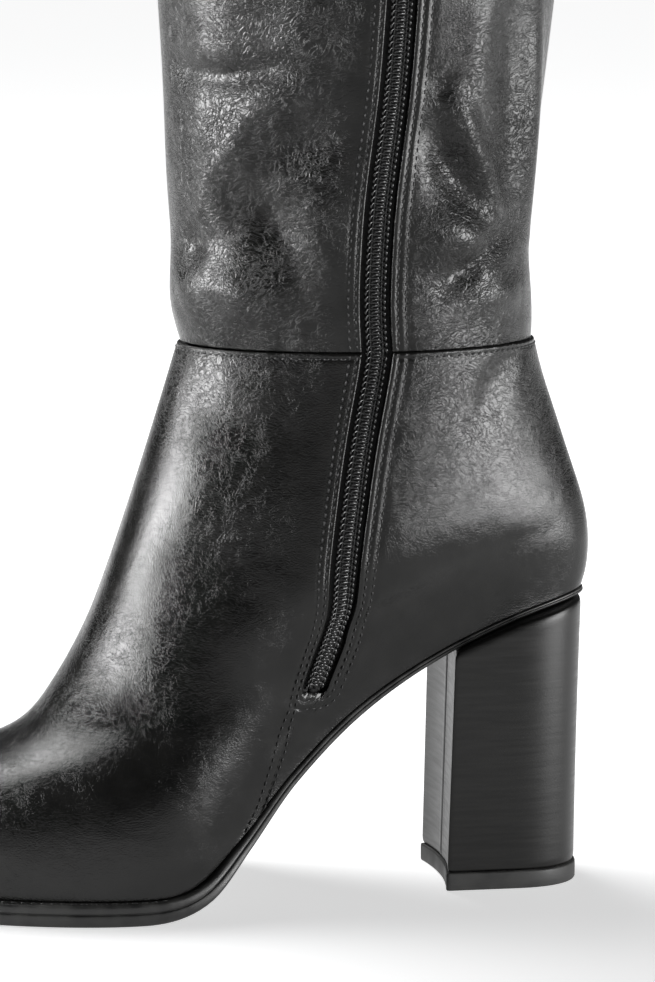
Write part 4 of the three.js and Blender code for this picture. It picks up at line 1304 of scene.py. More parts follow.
@dataclass
class ShaftPart(LeatherPart):
    """The shaft, tucked in under the foot part and folded over at its collar."""

    rows: int = 184
    collar_fold: float = 1.0
    collar_row: float = 3.0
    collar_row_clear: float = 5.6
    zip_row_steps: int = 220
    collar_row_steps: int = 300
    flat_reach: float = 15.0
    flat_folds: float = 0.15

    def heights(self) -> Array:
        """Heights of the rows, on the scale of the whole boot."""
        length = self.form.shaft_length
        even = np.linspace(0, 1, self.rows)
        low = self.form.gap / 2 / length
        top = 1 - np.array([0, 0.15, 0.4, 0.7, 1.1, 1.6, 2.2, 2.8, 3.4]) / length
        far = even[(even > 0.004) & (even < 0.986)]
        return 1 + np.unique(np.concatenate([[low, 0.0015], far, top]))

    def surface(self, height: Array, turn: Array) -> tuple[Array, Array, Array]:
        """Points of the finished skin, points of its form with soft folds alone, and normals."""
        height, turn = paired(height, turn)
        up = height - 1
        smooth = self.form.shaft(up, turn)
        normals = self.form.normals(np.maximum(height, 1), turn)
        tuck = self.form.seam_inset * np.exp(-up * self.form.shaft_length / self.form.seam_blend)
        along, across = self.slot.local(smooth)
        outside = self.slot.outside(along, across)
        calm = 1 - np.exp(-((np.abs(across) / self.flat_reach) ** 4))
        free = self.flat_folds + (1 - self.flat_folds) * calm
        soft = self.relief.soft(smooth) * ease((up + 0.002) / 0.03) * free
        draped = smooth + normals * (soft - tuck)[..., None]
        from_top = (1 - up) * self.form.shaft_length
        detail = self.roll(np.maximum(outside, 0), self.slot.fold_radius)
        detail = detail + self.seam_lines(along, across, outside)
        detail = detail + self.roll(from_top, self.collar_fold)
        detail = detail - 0.25 * np.exp(-(((from_top - self.collar_row) / 0.7) ** 2))
        return draped + normals * detail[..., None], draped, normals

    def stitch_rows(self) -> list[StitchRow]:
        """Rows beside the zip and under the collar."""
        low = self.slot.length_at(1) + 1.0
        high = self.slot.length_at(2) - 1.5
        rows = []
        for side, offsets in ((Side.FRONT, self.front_rows), (Side.BACK, self.back_rows)):
            for offset in offsets:
                lengths = np.linspace(low, high, self.zip_row_steps)
                ways = np.full(self.zip_row_steps, side.value * (self.slot.width / 2 + offset))
                rows.append(self.slot.places(lengths, ways))
        under = 2 - self.collar_row / self.form.shaft_length
        clear = self.slot.width / 2 + self.collar_row_clear
        at = np.array([self.slot.length_at(under)])
        start, end = (self.slot.places(at, np.array([way]))[1][0] for way in (clear, 1.0 - clear))
        turns = np.linspace(start, end + 2 * np.pi, self.collar_row_steps)
        rows.append((np.full(len(turns), under), turns))
        made = []
        for up, turn in rows:
            skin, _, normals = self.surface(np.clip(up, 1.0005, 2), turn)
            made.append(StitchRow(skin, normals))
        return made


@dataclass
class Sole:
    """The outsole, its welt stitches and the insole."""

    form: BootForm
    finishes: Finishes
    around: int = 420
    plate_rows: int = 22
    stitch_end: float = 0.44
    stitch_share: float = 0.42
    stitch_out: float = 0.16
    tread_pitch: float = 5.2
    tread_depth: float = 0.55
    sock_rise: float = 2.2
    sock_gap: float = 0.45

    def turns(self) -> tuple[Array, Array]:
        """Turns once round the sole, and the form's level normals there."""
        turn = 2 * np.pi * np.arange(self.around) / self.around
        return turn, unit(self.form.normals(np.zeros_like(turn), turn) * LEVEL)

    def outline(self, out: float, share: float = 1.0) -> tuple[Array, Array, Array]:
        """The feather ring moved out past a share of the sole's edge, the shares along it and level normals."""
        turn, normals = self.turns()
        along = (1 - np.cos(turn)) / 2
        edge = self.form.feather_rise["edge"](along) * self.form.sole_edge
        return self.form.foot(0.0, turn) + normals * (share * edge + out)[:, None], along, normals

    def ring(self, out: float, drop: float) -> Array:
        """One ring of the sole's side."""
        points, along, _ = self.outline(out)
        x, z = self.form.sole_line(along, drop)
        top_x, _ = self.form.sole_line(along, 0.0)
        return np.stack([points[:, 0] + x - top_x, points[:, 1], z], -1)

    def build_outsole(self) -> Thing:
        """Builds the outsole with its moulded line and tread."""
        profile = [(-1.6, 0), (-0.9, 0.0), (-0.5, 0.015), (-0.22, 0.05), (-0.06, 0.1), (0, 0.16), (0.02, 0.26),
                   (0, 0.36), (-0.08, 0.395), (-0.32, 0.41), (-0.45, 0.435), (-0.32, 0.46), (-0.08, 0.475),
                   (0.0, 0.51), (-0.03, 0.65), (-0.1, 0.78), (-0.22, 0.88), (-0.42, 0.95), (-0.7, 0.99), (-1.0, 1.0)]
        rings = [self.ring(out, drop) for out, drop in profile]
        thing = self._closed("outsole_moulded", rings[::-1], self.finishes.sole, tread=True)
        settle(thing, stands_for=["outsole"])
        return thing

    def _closed(self, name: str, rings: Sequence[Array], material: Material, tread: bool) -> Thing:
        """A plate through rings from its underside up, closed below and above, with or without the tread."""
        points = [np.concatenate(rings)]
        faces = [sheet_faces(len(rings), self.around, True)]
        start = len(points[0])
        for k, upward in ((0, False), (len(rings) - 1, True)):
            plate, groups = self._plate(rings[k], k * self.around, start, upward, tread and not upward)
            points.append(plate)
            faces.extend(groups)
            start += len(plate)
        return make_mesh(name, np.concatenate(points), faces, [material])

    def _plate(self, ring: Array, first: int, start: int, upward: bool, tread: bool) -> tuple[Array, list[Array]]:
        """Closes a ring with rows of quads from one side of the foot to the other.

        Args:
            ring: The ring's points, from the toe tip by the inner side and back.
            first: Number of the ring's first point.
            start: Number that the plate's first own point gets.
            upward: Whether the plate faces up.
            tread: Whether it carries the tread's grooves.

        Returns:
            The plate's own points and its groups of faces.
        """
        across = self.plate_rows
        half = self.around // 2
        rows = np.arange(1, half)
        left = ring[rows]
        right = ring[self.around - rows]
        share = np.linspace(0, 1, across + 1)[1:-1]
        inside = left[:, None] + (right - left)[:, None] * share[None, :, None]
        if tread:
            inside[..., 2] += self._tread(inside)
        numbers = np.empty((half - 1, across + 1), int)
        numbers[:, 0] = first + rows
        numbers[:, -1] = first + self.around - rows
        numbers[:, 1:-1] = start + np.arange(inside.shape[0] * (across - 1)).reshape(-1, across - 1)
        quads = np.stack([numbers[:-1, :-1], numbers[1:, :-1], numbers[1:, 1:], numbers[:-1, 1:]], -1).reshape(-1, 4)
        toe = [[first, numbers[0, k], numbers[0, k + 1]] for k in range(across)]
        heel = [[first + half, numbers[-1, k + 1], numbers[-1, k]] for k in range(across)]
        groups = [quads, np.array(toe + heel)]
        return inside.reshape(-1, 3), groups if upward else [group[:, ::-1] for group in groups]

    def _tread(self, points: Array) -> Array:
        """Shallow cross grooves under the forepart."""
        along = self.form.feather_share(points[..., 0])
        wave = np.sin(2 * np.pi * points[..., 0] / self.tread_pitch)
        ridge = ease((wave - 0.35) / 0.4)
        fade = ease((along - 0.05) / 0.04) * ease((0.44 - along) / 0.04)
        reach = np.abs(points[..., 1]) / (0.42 * self.form.ball_width)
        return self.tread_depth * ridge * fade * ease((1 - reach) / 0.14)

    def stitch_rows(self) -> list[StitchRow]:
        """The row on the sole's top, close to the upper."""
        points, along, normals = self.outline(self.stitch_out, self.stitch_share)
        _, z = self.form.sole_line(along, 0.0)
        points[:, 2] = z + 0.05
        rise = np.gradient(self.form.feather_height(np.linspace(0, 1, 400)))
        slope = np.interp(along, np.linspace(0, 1, 400), rise) * 399 / self.form.last_length
        tops = unit(np.stack([-slope, 0 * slope, 1 + 0 * slope], -1) + 0.35 * normals)
        order = np.roll(np.arange(self.around), self.around // 2)
        order = order[along[order] < self.stitch_end]
        return [StitchRow(points[order], tops[order])]

    def build_insole(self) -> Thing:
        """Builds the insole with its sock."""
        turn, normals = self.turns()
        base = self.form.foot(0.0, turn) - normals * (self.form.wall + self.sock_gap)
        rings = []
        for inset, rise in ((0.4, 0), (0.1, 0.25), (0, 0.7), (0, 1.5), (0.15, 1.95), (0.5, self.sock_rise)):
            ring = base - normals * inset
            ring[:, 2] = base[:, 2] + rise
            rings.append(ring)
        thing = self._closed("insole_sock", rings, self.finishes.sock, tread=False)
        add_values(thing, "crinkle", np.full(len(thing.data.vertices), 0.15))
        settle(thing, stands_for=["insole"])
        return thing


@dataclass
class Heel:
    """The covered heel block and its tip."""

    form: BootForm
    finishes: Finishes
    tip_length: float = 42.0
    tip_width: float = 42.0
    tip_height: float = 5.2
    breast_hollow: float = 2.1
    breast_lean: float = 2.6
    side_spread: float = 2.4
    overhang: float = 2.0
    tip_lip: float = 0.4
    seam_width: float = 0.5
    levels: int = 64
    around: int = 240
    soften: float = 0.77
    closing: tuple[float, ...] = (0.02, 0.3, 0.6, 0.85)

    def outline(self, share: Array, inset: float) -> Array:
        """Points of the heel's outline as x and y, at shares of its height and an inset from the tip's edge."""
        breast = np.linspace(1, -1, 61)
        angle = np.linspace(-np.pi / 2, np.pi / 2, 141)[1:-1]
        share = np.broadcast_to(np.asarray(share, float), (len(breast) + len(angle),))
        low, high = share[: len(breast)], share[len(breast) :]
        half = self.tip_width / 2 - inset + self.side_spread * low
        front = -self.tip_length / 2 + inset + self.breast_lean * low
        x_front = front + self.breast_hollow * (1 - breast**2)
        y_front = half * breast
        back = self.tip_length / 2 - inset + self.overhang * high**1.6
        half = self.tip_width / 2 - inset + self.side_spread * high
        middle = back - half * 1.05
        x_back = middle + (back - middle) * np.cos(angle) ** 0.8
        y_back = half * np.sign(np.sin(angle)) * np.abs(np.sin(angle)) ** 0.8
        return np.stack([np.concatenate([x_front, x_back]), np.concatenate([y_front, y_back])], -1)

    def evened(self, ring: Array) -> Array:
        """A ring with even spacing and slightly rounded corners."""
        closed = np.concatenate([ring, ring[:1]])
        lengths = run_of(closed)
        at = np.linspace(0, lengths[-1], self.around + 1)[:-1]
        even = np.stack([np.interp(at, lengths, closed[:, k]) for k in range(closed.shape[1])], -1)
        offsets = np.arange(-8, 9)
        weights = np.exp(-((offsets * (lengths[-1] / self.around)) / self.soften) ** 2)
        weights /= weights.sum()
        return sum(w * np.roll(even, -o, axis=0) for w, o in zip(weights, offsets))

    def seat_under(self, x: Array) -> Array:
        """Height of the sole's underside over the heel, less the gap."""
        along = np.linspace(0.62, 1, 160)
        line_x, line_z = self.form.sole_line(along, 1.0)
        slope = (line_z[-1] - line_z[-2]) / (line_x[-1] - line_x[-2])
        inside = np.interp(x, line_x, line_z)
        return np.where(x > line_x[-1], line_z[-1] + slope * (x - line_x[-1]), inside) - self.form.gap

    def build_block(self) -> Thing:
        """Builds the block under its leather cover, with the cover's butt seam down the breast."""
        foot = self.tip_height + self.form.gap
        top = self.form.heel_height + 10
        ends = np.array([0, 0.006, 0.016, 0.03])
        levels = np.concatenate([ends, np.linspace(0.03, 0.97, self.levels)[1:-1], 1 - ends[::-1]])
        edges = np.array([0.55, 0.28, 0.08, 0])
        insets = np.concatenate([edges, np.zeros(len(levels) - 8), edges[::-1]])
        rings = []
        for level, inset in zip(levels, insets):
            share = np.full(200, level)
            for _ in range(4):
                flat = self.outline(share, self.tip_lip + inset)
                z = foot + (self.seat_under(flat[:, 0]) - foot) * level
                share = (z - foot) / (top - foot)
            ring = self.evened(np.column_stack([flat, z]))
            seam = np.exp(-((ring[:, 1] / self.seam_width) ** 2)) * (ring[:, 0] < -10)
            puff = np.exp(-(((np.abs(ring[:, 1]) - 1.6) / 1.0) ** 2)) * (ring[:, 0] < -10)
            ring[:, 0] += 0.5 * seam - 0.14 * puff
            rings.append(ring)
        thing = self._stack("heel_block_cover", rings, self.finishes.heel, seated=True)
        settle(thing, stands_for=["heel_block"])
        return thing

    def build_tip(self) -> Thing:
        """Builds the rubber tip with softened edges."""
        rings = []
        for z, inset in ((0, 0.5), (0.12, 0.18), (0.4, 0), (2.4, -0.02), (4.7, 0), (5.05, 0.14), (5.2, 0.4)):
            flat = self.outline(0.0, inset)
            rings.append(self.evened(np.column_stack([flat, np.full(len(flat), z)])))
        thing = self._stack("heel_tip_rubber", rings, self.finishes.tip, seated=False)
        settle(thing, stands_for=["heel_tip"])
        return thing

    def _stack(self, name: str, rings: Sequence[Array], material: Material, seated: bool) -> Thing:
        """A solid through rings from its foot up, each end closed by smaller rings; its top may follow the sole."""
        stack = [self._shrunk(rings[0], share) for share in self.closing]
        stack += [*rings, *(self._shrunk(rings[-1], share) for share in reversed(self.closing))]
        if seated:
            for ring in stack[-len(self.closing) :]:
                ring[:, 2] = self.seat_under(ring[:, 0])
        count = len(rings[0])
        faces = sheet_faces(len(stack), count, True)
        low = np.arange(count)[::-1][None]
        high = (np.arange(count) + (len(stack) - 1) * count)[None]
        return make_mesh(name, np.concatenate(stack), [faces, low, high], [material])

    def _shrunk(self, ring: Array, share: float) -> Array:
        """A ring drawn in towards its middle."""
        middle = ring.mean(axis=0)
        return middle + (ring - middle) * share


@dataclass
class Zip:
    """Tapes, coil, sewing threads, slider, stops and pull tab.

    Attributes:
        wire: One loop of the coil, a row for each point: its way in from the coil's side, its share of the
            pitch, its height, and the wire's half width and half height there.
    """

    form: BootForm
    slot: ZipSlot
    finishes: Finishes
    tape_width: float = 12.0
    tape_thickness: float = 0.7
    middle_gap: float = 0.5
    tape_tail: float = 0.03
    chain_width: float = 6.3
    chain_height: float = 2.1
    chain_gap: float = 0.4
    chain_top: float = 0.965
    pitch: float = 1.78
    neck: float = 2.0
    neck_length: float = 3.0
    wire: tuple[tuple[float, ...], ...] = (
        (0.62, -0.5, 0.6, 0.3, 0.3), (0.46, -0.4, 1.2, 0.38, 0.36), (0.4, -0.22, 1.56, 0.42, 0.4),
        (0.42, 0.0, 1.7, 0.44, 0.4), (0.5, 0.18, 1.66, 0.42, 0.38), (0.85, 0.31, 1.42, 0.38, 0.34),
        (1.5, 0.37, 1.22, 0.36, 0.32), (2.3, 0.39, 1.26, 0.38, 0.34), (3.05, 0.4, 1.5, 0.44, 0.4),
        (3.55, 0.4, 1.62, 0.5, 0.46), (4.0, 0.4, 1.4, 0.46, 0.42), (4.15, 0.4, 0.9, 0.3, 0.26),
    )

    def frames(self, heights: Array, depth: Array | float) -> tuple[Array, Array, Array, Array]:
        """Origins under the zip's centre line, ways across towards the heel, ways up the zip and ways out."""
        turn = self.form.zip_turn(heights)
        normals = self.form.normals(heights, turn)
        points = self.form.skin(heights, turn)
        tangents = np.stack(
            [np.interp(heights, self.slot.line["heights"], self.slot.line["tangents"][:, k]) for k in range(3)], -1,
        )
        upward = unit(tangents - normals * dot(tangents, normals)[:, None])
        sides = np.cross(upward, normals)
        return points - normals * np.asarray(depth)[..., None], sides, upward, normals

    def build_tape(self, side: Side) -> Thing:
        """Builds one cloth tape of even thickness."""
        low = self.slot.start - self.tape_tail
        high = 2 - 2 * self.form.gap / self.form.shaft_length
        top_mm = self.slot.length_at(high)
        low_mm = self.slot.length_at(low)
        lengths = np.linspace(low_mm, top_mm, 300)
        heights = self.slot.height_at(lengths)
        neck_low = self.slot.length_at(1 + self.chain_top) - self.neck_length
        beside_neck = lengths > neck_low
        inner = np.where(beside_neck, self.neck / 2 + 2 * self.form.gap, self.middle_gap)
        shares = np.linspace(0, 1, 9)
        rings = []
        depth = self.form.tape_depth(heights)
        ways = inner[:, None] + (self.tape_width - inner)[:, None] * shares[None]
        for layer in (0.0, self.tape_thickness):
            up, turn = self.form.beside_zip(np.repeat(heights[:, None], 9, 1), side.value * ways)
            normals = self.form.normals(up, turn)
            rings.append(self.form.skin(up, turn) - normals * (depth[:, None] + layer)[..., None])
        ring = np.concatenate([rings[0], rings[1][:, ::-1]], axis=1)
        count = ring.shape[1]
        faces = sheet_faces(len(ring), count, True)
        if side is Side.FRONT:
            faces = faces[:, ::-1]
        ends = np.array([np.arange(count), np.arange(count) + (len(ring) - 1) * count])
        name = f"zip_tape_{side.name.lower()}_cloth"
        thing = make_mesh(name, ring.reshape(-1, 3), [faces, ends], [self.finishes.tape])
        settle(thing, stands_for=[f"zip_tape_{side.name.lower()}"])
        return thing

    def chain_span(self) -> tuple[float, float]:
        """Lengths above the slot's lower end between which the chain runs."""
        start = self.slot.length_at(self.slot.start + 0.007)
        return start, self.slot.length_at(1 + self.chain_top)

    def build_coil(self) -> Thing:
        """Builds the closed coil: loops from both sides that lock in the middle."""
        start, end = self.chain_span()
        count = int((end - start - 0.9) / self.pitch)
        across, along, rise, wide, tall = np.array(self.wire).T
        path = np.stack([self.chain_width / 2 - across, along * self.pitch, rise], -1)
        points, faces = [], []
        offset = 0
        for side in Side:
            local = path.copy()
            local[:, 0] *= side.value
            way = unit(np.gradient(local, axis=0))
            out = unit(np.cross(way, np.array([0.0, 1.0, 0.0])))
            around = unit(np.cross(out, way))
            ring, groups = tube(local, around * wide[:, None], out * tall[:, None], 8)
            if side is Side.FRONT:
                groups = [group[:, ::-1] for group in groups]
            shift = 0.25 if side is Side.FRONT else 0.75
            lengths = start + 0.45 + (np.arange(count) + shift) * self.pitch
            heights = self.slot.height_at(lengths)
            floor = self.form.tape_depth(heights) - self.chain_gap
            origin, sides, upward, normals = self.frames(heights, floor)
            low = np.minimum(ring[:, 2], self.chain_height)
            placed = (
                origin[:, None]
                + sides[:, None] * ring[None, :, 0:1]
                + upward[:, None] * ring[None, :, 1:2]
                + normals[:, None] * low[None, :, None]
            )
            points.append(placed.reshape(-1, 3))
            starts = offset + np.arange(count)[:, None, None] * len(ring)
            for group in groups:
                faces.append((group[None] + starts).reshape(-1, group.shape[1]))
            offset += placed.shape[0] * placed.shape[1]
        thing = make_mesh("zip_coil_loops", np.concatenate(points), gathered(faces), [self.finishes.coil])
        settle(thing, stands_for=["zip_chain"])
        return thing

    def build_threads(self) -> Thing:
        """Builds the threads that sew the coil down, one along each side, and the cord under the loops."""
        start, end = self.chain_span()
        points, faces = [], []
        offset = 0
        lines = ((-1.75, 0.25, 0.2, 1.98), (1.75, 0.75, 0.2, 1.98), (-0.95, 0.5, 0.62, 0.9), (0.95, 0.5, 0.62, 0.9))
        for across, shift, radius, rise in lines:
            plain = radius > 0.5
            steps = 1.5 if plain else self.pitch / 6
            lengths = np.arange(start + 0.2, end - 0.2, steps)
            heights = self.slot.height_at(lengths)
            floor = self.form.tape_depth(heights) - self.chain_gap
            origin, sides, _, normals = self.frames(heights, floor)
            phase = 2 * np.pi * ((lengths - start - 0.45) / self.pitch - shift)
            lift = rise + 0 * phase if plain else rise - 0.1 + 0.26 * (np.cos(phase) - 1)
            middle = origin + sides * across + normals * lift[:, None]
            ring, groups = tube(middle, sides * radius, normals * radius, 5, offset)
            points.append(ring)
            faces.extend(groups)
            offset += len(ring)
        groups = [group[:, ::-1] for group in gathered(faces)]
        thing = make_mesh("zip_coil_threads", np.concatenate(points), groups, [self.finishes.thread])
        settle(thing)
        return thing

    def build_metal(self) -> None:
        """Rounds off the slider, the stops and the pull tab and gives them their finish."""
        plan = (
            ("zip_slider", "zip_slider_cast", "boot", 0.35),
            ("zip_top_stop_front", "zip_top_stop_front_metal", "boot", 0.3),
            ("zip_top_stop_back", "zip_top_stop_back_metal", "boot", 0.3),
            ("zip_pull_tab", "zip_pull_tab_metal", "pull_tab", 0.28),
        )
        for node, name, body, width in plan:
            thing = rounded_copy(node, name, width, self.finishes.metal)
            settle(thing, body, [node])


def rounded_copy(node: str, name: str, width: float, material: Material) -> Thing:
    """A copy of a hard solid with rounded edges.

    Args:
        node: The solid's node.
        name: Name of the copy.
        width: Width of the rounding in mm.
        material: Its finish.

    Returns:
        The copy.
    """
    mesh = frame["nodes"][node].data.copy()
    mesh.name = name
    thing = bpy.data.objects.new(name, mesh)
    bpy.context.scene.collection.objects.link(thing)
    for kind, settings in (
        ("WELD", {"merge_threshold": 2e-6}),
        ("DECIMATE", {"decimate_type": "DISSOLVE", "angle_limit": math.radians(1.5)}),
        ("BEVEL", {"width": width * METRES, "segments": 3, "limit_method": "ANGLE", "angle_limit": math.radians(28)}),
    ):
        modifier = thing.modifiers.new(kind.lower(), kind)
        for key, value in settings.items():
            setattr(modifier, key, value)
    bpy.context.view_layer.update()
    graph = bpy.context.evaluated_depsgraph_get()
    made = bpy.data.meshes.new_from_object(thing.evaluated_get(graph))
    thing.modifiers.clear()
    thing.data = made
    made.materials.clear()
    made.materials.append(material)
    made.polygons.foreach_set("use_smooth", np.full(len(made.polygons), True))
    modifier = thing.modifiers.new("even_shading", "WEIGHTED_NORMAL")
    modifier.keep_sharp = True
    return thing


@dataclass(frozen=True)
class Panel:
    """A soft area light: metres for place, size and aim, watts for power, degrees for its spread."""

    name: str
    place: Triple
    size: tuple[float, float]
    power: float
    aim: Triple
    spread: float = 180.0
    boot_only: bool = True


@dataclass(frozen=True)
class Studio:
    """Pale floor, soft lights and the camera at the photograph's angle."""

    azimuth: float = -9.5
    elevation: float = 9.0
    distance: float = 1.5
    target: Triple = (-0.0526, 0.0, 0.116)
    lens: float = 188.6
    panels: tuple[Panel, ...] = (
        Panel("sky_panel", (-0.7, 0.85, 1.5), (1.3, 1.1), 31.0, (-0.12, 0.12, 0.0), boot_only=False),
        Panel("toe_side_panel", (-0.98, 0.0, 0.4), (0.5, 0.76), 6.2, (0.0, 0.13, 0.34), 75.0),
        Panel("heel_side_panel", (0.4, -0.25, 0.16), (0.32, 0.31), 1.2, (0.0, 0.0, 0.16), 90.0),
    )

    def camera_frame(self) -> tuple[Vector, Matrix]:
        """Where the camera stands and how it is turned."""
        a, e = math.radians(self.azimuth), math.radians(self.elevation)
        back = Vector((math.sin(a) * math.cos(e), -math.cos(a) * math.cos(e), math.sin(e)))
        right = Vector((math.cos(a), math.sin(a), 0.0))
        up = back.cross(right)
        turn = Matrix((right, up, back)).transposed()
        return Vector(self.target) + back * self.distance, turn

    def add_camera(self) -> None:
        """Adds the camera and makes it the scene's own."""
        lens = bpy.data.cameras.new("photo_camera")
        lens.lens = self.lens
        lens.sensor_width = 36.0
        lens.sensor_fit = "AUTO"
        lens.clip_end = 20.0
        camera = bpy.data.objects.new("photo_camera", lens)
        place, turn = self.camera_frame()
        camera.matrix_world = Matrix.Translation(place) @ turn.to_4x4()
        bpy.context.scene.collection.objects.link(camera)
        bpy.context.scene.camera = camera

    def add_light(self, panel: Panel, boot: bpy.types.Collection) -> None:
        """Adds a panel's light, linked to the boot's pieces where it lights nothing else."""
        lamp = bpy.data.lights.new(panel.name, "AREA")
        lamp.shape = "RECTANGLE"
        lamp.size, lamp.size_y = panel.size
        lamp.energy = panel.power
        lamp.spread = math.radians(panel.spread)
        thing = bpy.data.objects.new(panel.name, lamp)
        thing.visible_camera = False
        if panel.boot_only:
            thing.light_linking.receiver_collection = boot
        place = Vector(panel.place)
        turn = (Vector(panel.aim) - place).to_track_quat("-Z", "Y").to_matrix()
        thing.matrix_world = Matrix.Translation(place) @ turn.to_4x4()
        bpy.context.scene.collection.objects.link(thing)

    def away_from(self, nodes: Nodes, centre: Triple) -> object:
        """Distance of the floor's points from a centre."""
        gap = nodes.add("ShaderNodeVectorMath", operation="DISTANCE")
        nodes.link(nodes.place, gap.inputs[0])
        gap.inputs[1].default_value = centre
        return gap.outputs["Value"]

    def add_floor(self) -> None:
        """Adds the pale floor, which glows softly round the boot and far out: painted light, which near the boot
        fills in the boot's shadow.
        """
        ends = np.linspace(-30, 30, 9)
        rows = np.array([[(x, y, 0.0) for x in ends] for y in ends]) * 1000
        nodes = Nodes("pale_floor_painted_glow")
        cloud = nodes.spread(nodes.noise(3.0, 2.0), 0.3, 0.7)
        # Painted light: the floor glows most round the boot, which lifts the shadow the boot casts on it.
        near = nodes.spread(self.away_from(nodes, (0.0, 0.3, 0.0)), 0.5, 0.95, 0.44, 0.0)
        # A further glow rises far out, so the floor stays pale where the lamps fall off.
        far = nodes.spread(self.away_from(nodes, (-0.05, -0.5, 0.0)), 0.5, 1.5, 0.18, 0.9)
        material = nodes.finish(
            Base_Color=nodes.mixed(cloud, (0.86, 0.865, 0.87), (0.885, 0.887, 0.89)),
            Roughness=0.6,
            Normal=nodes.bump(nodes.noise(400.0), 0.0001, 0.1),
            Emission_Color=(1.0, 1.0, 1.0, 1.0),
            Emission_Strength=nodes.math("ADD", near, far),
        )
        floor = make_mesh("floor", rows.reshape(-1, 3), [sheet_faces(9, 9, False)], [material])

    def build(self) -> None:
        """Adds the world, the floor, the lights and the camera."""
        world = bpy.data.worlds.new("studio_air")
        world.use_nodes = True
        background = next(node for node in world.node_tree.nodes if node.type == "BACKGROUND")
        background.inputs["Color"].default_value = (0.93, 0.96, 1.0, 1)
        background.inputs["Strength"].default_value = 0.05
        bpy.context.scene.world = world
        bpy.context.scene.view_settings.view_transform = "Standard"
        self.add_floor()
        boot = bpy.data.collections.new("boot_pieces")
        for thing in bpy.context.scene.objects:
            if thing.type == "MESH" and thing.name != "floor":
                boot.objects.link(thing)
        for panel in self.panels:
            self.add_light(panel, boot)
        self.add_camera()


FOOT_FOLDS = (
    Fold(((0.777, 2.25), (0.88, 2.34), (0.975, 2.53)), 6.0, 0.9),
    Fold(((0.97, 0.35), (0.9, 0.75), (0.88, 1.1)), 9.0, 0.9),
    Fold(((0.74, 0.45), (0.7, 0.9), (0.66, 1.3)), 10.0, 0.8),
    Fold(((0.52, 0.3), (0.45, 0.8), (0.33, 1.2)), 11.0, 0.8),
    Fold(((0.62, 1.2), (0.5, 1.5)), 6.0, 0.5),
    Fold(((0.9, 5.6), (0.86, 5.1), (0.88, 4.6)), 9.0, 1.0),
    Fold(((0.6, 5.8), (0.5, 5.3), (0.45, 4.9)), 10.0, 0.8),
    Fold(((0.8, 3.8), (0.93, 3.6)), 7.0, 0.8),
)

SHAFT_FOLDS = (
    Fold(((1.36, 1.22), (1.3, 1.22), (1.252, 1.17), (1.22, 1.02), (1.19, 0.88)), 10.0, -2.2),
    Fold(((1.215, 0.95), (1.185, 0.81), (1.153, 0.667), (1.12, 0.6)), 9.0, -1.5),
    Fold(((1.24, 1.36), (1.2, 1.14), (1.16, 0.9)), 7.0, 0.9),
    Fold(((1.33, 0.3), (1.27, 0.34), (1.2, 0.3)), 8.0, 0.6),
    Fold(((1.345, 2.16), (1.28, 2.1), (1.215, 2.14)), 6.5, -0.8),
    Fold(((1.255, 0.24), (1.25, 0.757), (1.266, 1.2)), 3.6, 1.6),
    Fold(((1.18, 0.83), (1.193, 1.222), (1.205, 1.537)), 8.5, 1.4),
    Fold(((1.15, 0.75), (1.125, 0.98), (1.09, 1.12)), 6.0, 1.6),
    Fold(((1.15, 1.3), (1.1, 1.4), (1.05, 1.43)), 8.5, -3.0),
    Fold(((1.068, 0.88), (1.028, 0.94)), 8.0, -1.5),
    Fold(((1.04, 0.25), (1.058, 0.6), (1.048, 0.9)), 8.5, -1.8),
    Fold(((1.09, 0.3), (1.1, 0.55)), 6.0, 1.2),
    Fold(((1.252, 1.8), (1.236, 1.98)), 5.0, 1.8),
    Fold(((1.212, 1.75), (1.175, 1.965), (1.132, 2.24)), 6.5, 2.6),
    Fold(((1.255, 1.9), (1.183, 2.13), (1.12, 2.43)), 4.6, -2.0),
    Fold(((1.095, 1.85), (1.105, 2.1), (1.073, 2.34)), 7.5, -2.0),
    Fold(((1.106, 2.46), (1.08, 2.205), (1.06, 2.0)), 3.6, 1.6),
    Fold(((1.297, 2.32), (1.205, 2.44), (1.11, 2.5)), 6.0, 1.3),
    Fold(((1.33, 2.53), (1.205, 2.7), (1.1, 2.888)), 5.0, -1.3),
    Fold(((1.045, 2.12), (1.048, 2.66)), 5.0, -1.0),
    Fold(((1.4, 2.0), (1.36, 2.6)), 9.0, 1.4),
    Fold(((1.45, 0.2), (1.42, 0.9)), 10.0, 1.2),
    Fold(((1.3, 3.5), (1.24, 4.0), (1.2, 4.5)), 8.0, 2.4),
    Fold(((1.24, 3.4), (1.19, 3.9)), 7.0, -1.6),
    Fold(((1.17, 5.0), (1.13, 5.4), (1.11, 5.8)), 8.0, 2.4),
    Fold(((1.2, 5.2), (1.17, 5.7)), 7.0, -1.6),
    Fold(((1.09, 4.0), (1.07, 4.6)), 7.0, 1.5),
    Fold(((1.05, 5.0), (1.06, 5.8)), 8.0, -1.4),
    Fold(((1.42, 4.2), (1.36, 5.0)), 10.0, 1.5),
)

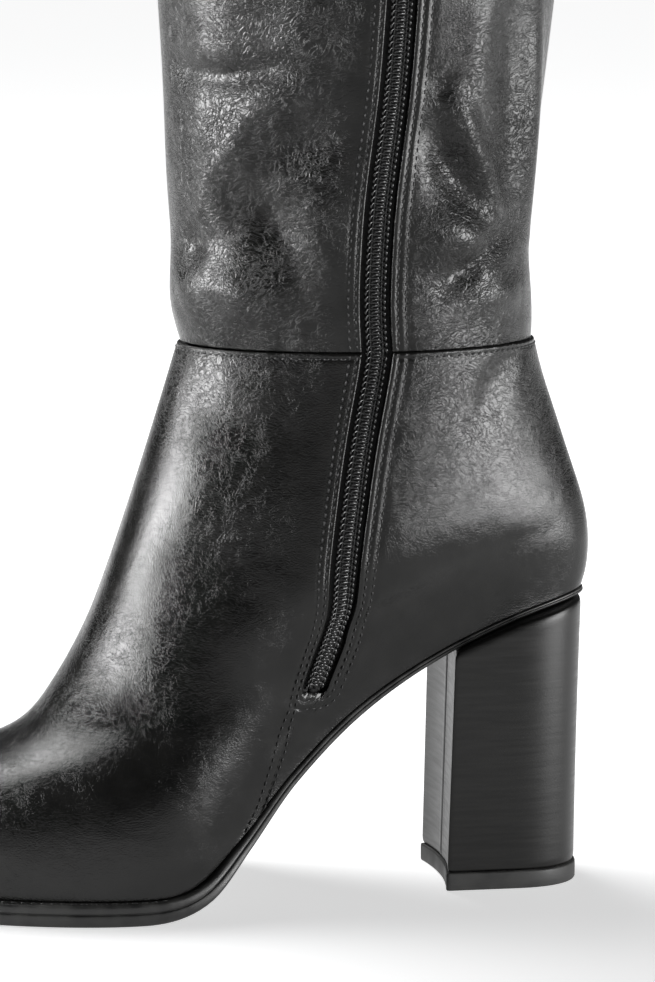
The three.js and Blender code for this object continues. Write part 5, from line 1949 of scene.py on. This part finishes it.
CRINKLES = (
    CrinklePatch(1.2, 1.0, 80.0, 1.0),
    CrinklePatch(1.1, 0.6, 60.0, 0.9),
    CrinklePatch(1.14, 2.3, 70.0, 1.0),
    CrinklePatch(1.6, 1.2, 120.0, 0.55),
    CrinklePatch(1.6, 4.4, 120.0, 0.55),
    CrinklePatch(1.15, 4.4, 90.0, 0.9),
    CrinklePatch(1.24, 0.35, 50.0, 0.7),
    CrinklePatch(0.68, 1.25, 40.0, 0.38),
    CrinklePatch(0.85, 1.9, 32.0, 0.7),
    CrinklePatch(0.85, 4.5, 42.0, 0.7),
    CrinklePatch(0.42, 0.75, 36.0, 0.45),
    CrinklePatch(0.3, 0.5, 40.0, 0.35),
    CrinklePatch(0.4, 5.4, 40.0, 0.6),
)


class Boot:
    """The whole boot, built piece by piece."""

    def __init__(self) -> None:
        """Sets up the form, the slot, the relief and the finishes."""
        self.form = BootForm()
        self.slot = ZipSlot(self.form)
        self.finishes = Finishes()
        self.relief = SkinRelief(self.form, [*FOOT_FOLDS, *SHAFT_FOLDS], CRINKLES)

    def build_upper(self) -> None:
        """Builds the foot part and the shaft with their stitches."""
        foot = FootPart(self.form, self.slot, self.relief, self.finishes, around=300)
        shaft = ShaftPart(self.form, self.slot, self.relief, self.finishes, around=210)
        settle(foot.build("upper_foot_part", self.finishes.upper), stands_for=["foot_upper"])
        settle(shaft.build("upper_shaft", self.finishes.shaft), stands_for=["shaft"])
        stitcher = Stitcher()
        settle(stitcher.mesh("upper_foot_stitches", foot.stitch_rows(), self.finishes.thread))
        settle(stitcher.mesh("upper_shaft_stitches", shaft.stitch_rows(), self.finishes.thread))

    def build_bottom(self) -> None:
        """Builds the sole, its stitches, the insole and the heel."""
        sole = Sole(self.form, self.finishes)
        sole.build_outsole()
        sole.build_insole()
        welt = Stitcher(pitch=2.9, length=1.9, radius=0.18, proud=0.08)
        settle(welt.mesh("sole_welt_stitches", sole.stitch_rows(), self.finishes.thread))
        heel = Heel(self.form, self.finishes)
        heel.build_block()
        heel.build_tip()

    def build_zip(self) -> None:
        """Builds the zip."""
        closure = Zip(self.form, self.slot, self.finishes)
        for side in Side:
            closure.build_tape(side)
        closure.build_coil()
        closure.build_threads()
        closure.build_metal()


def main() -> None:
    """Builds the boot and its studio."""
    logging.basicConfig(level=logging.INFO, format="%(message)s")
    boot = Boot()
    boot.build_upper()
    boot.build_bottom()
    boot.build_zip()
    Studio().build()


if __name__ == "__main__":
    main()
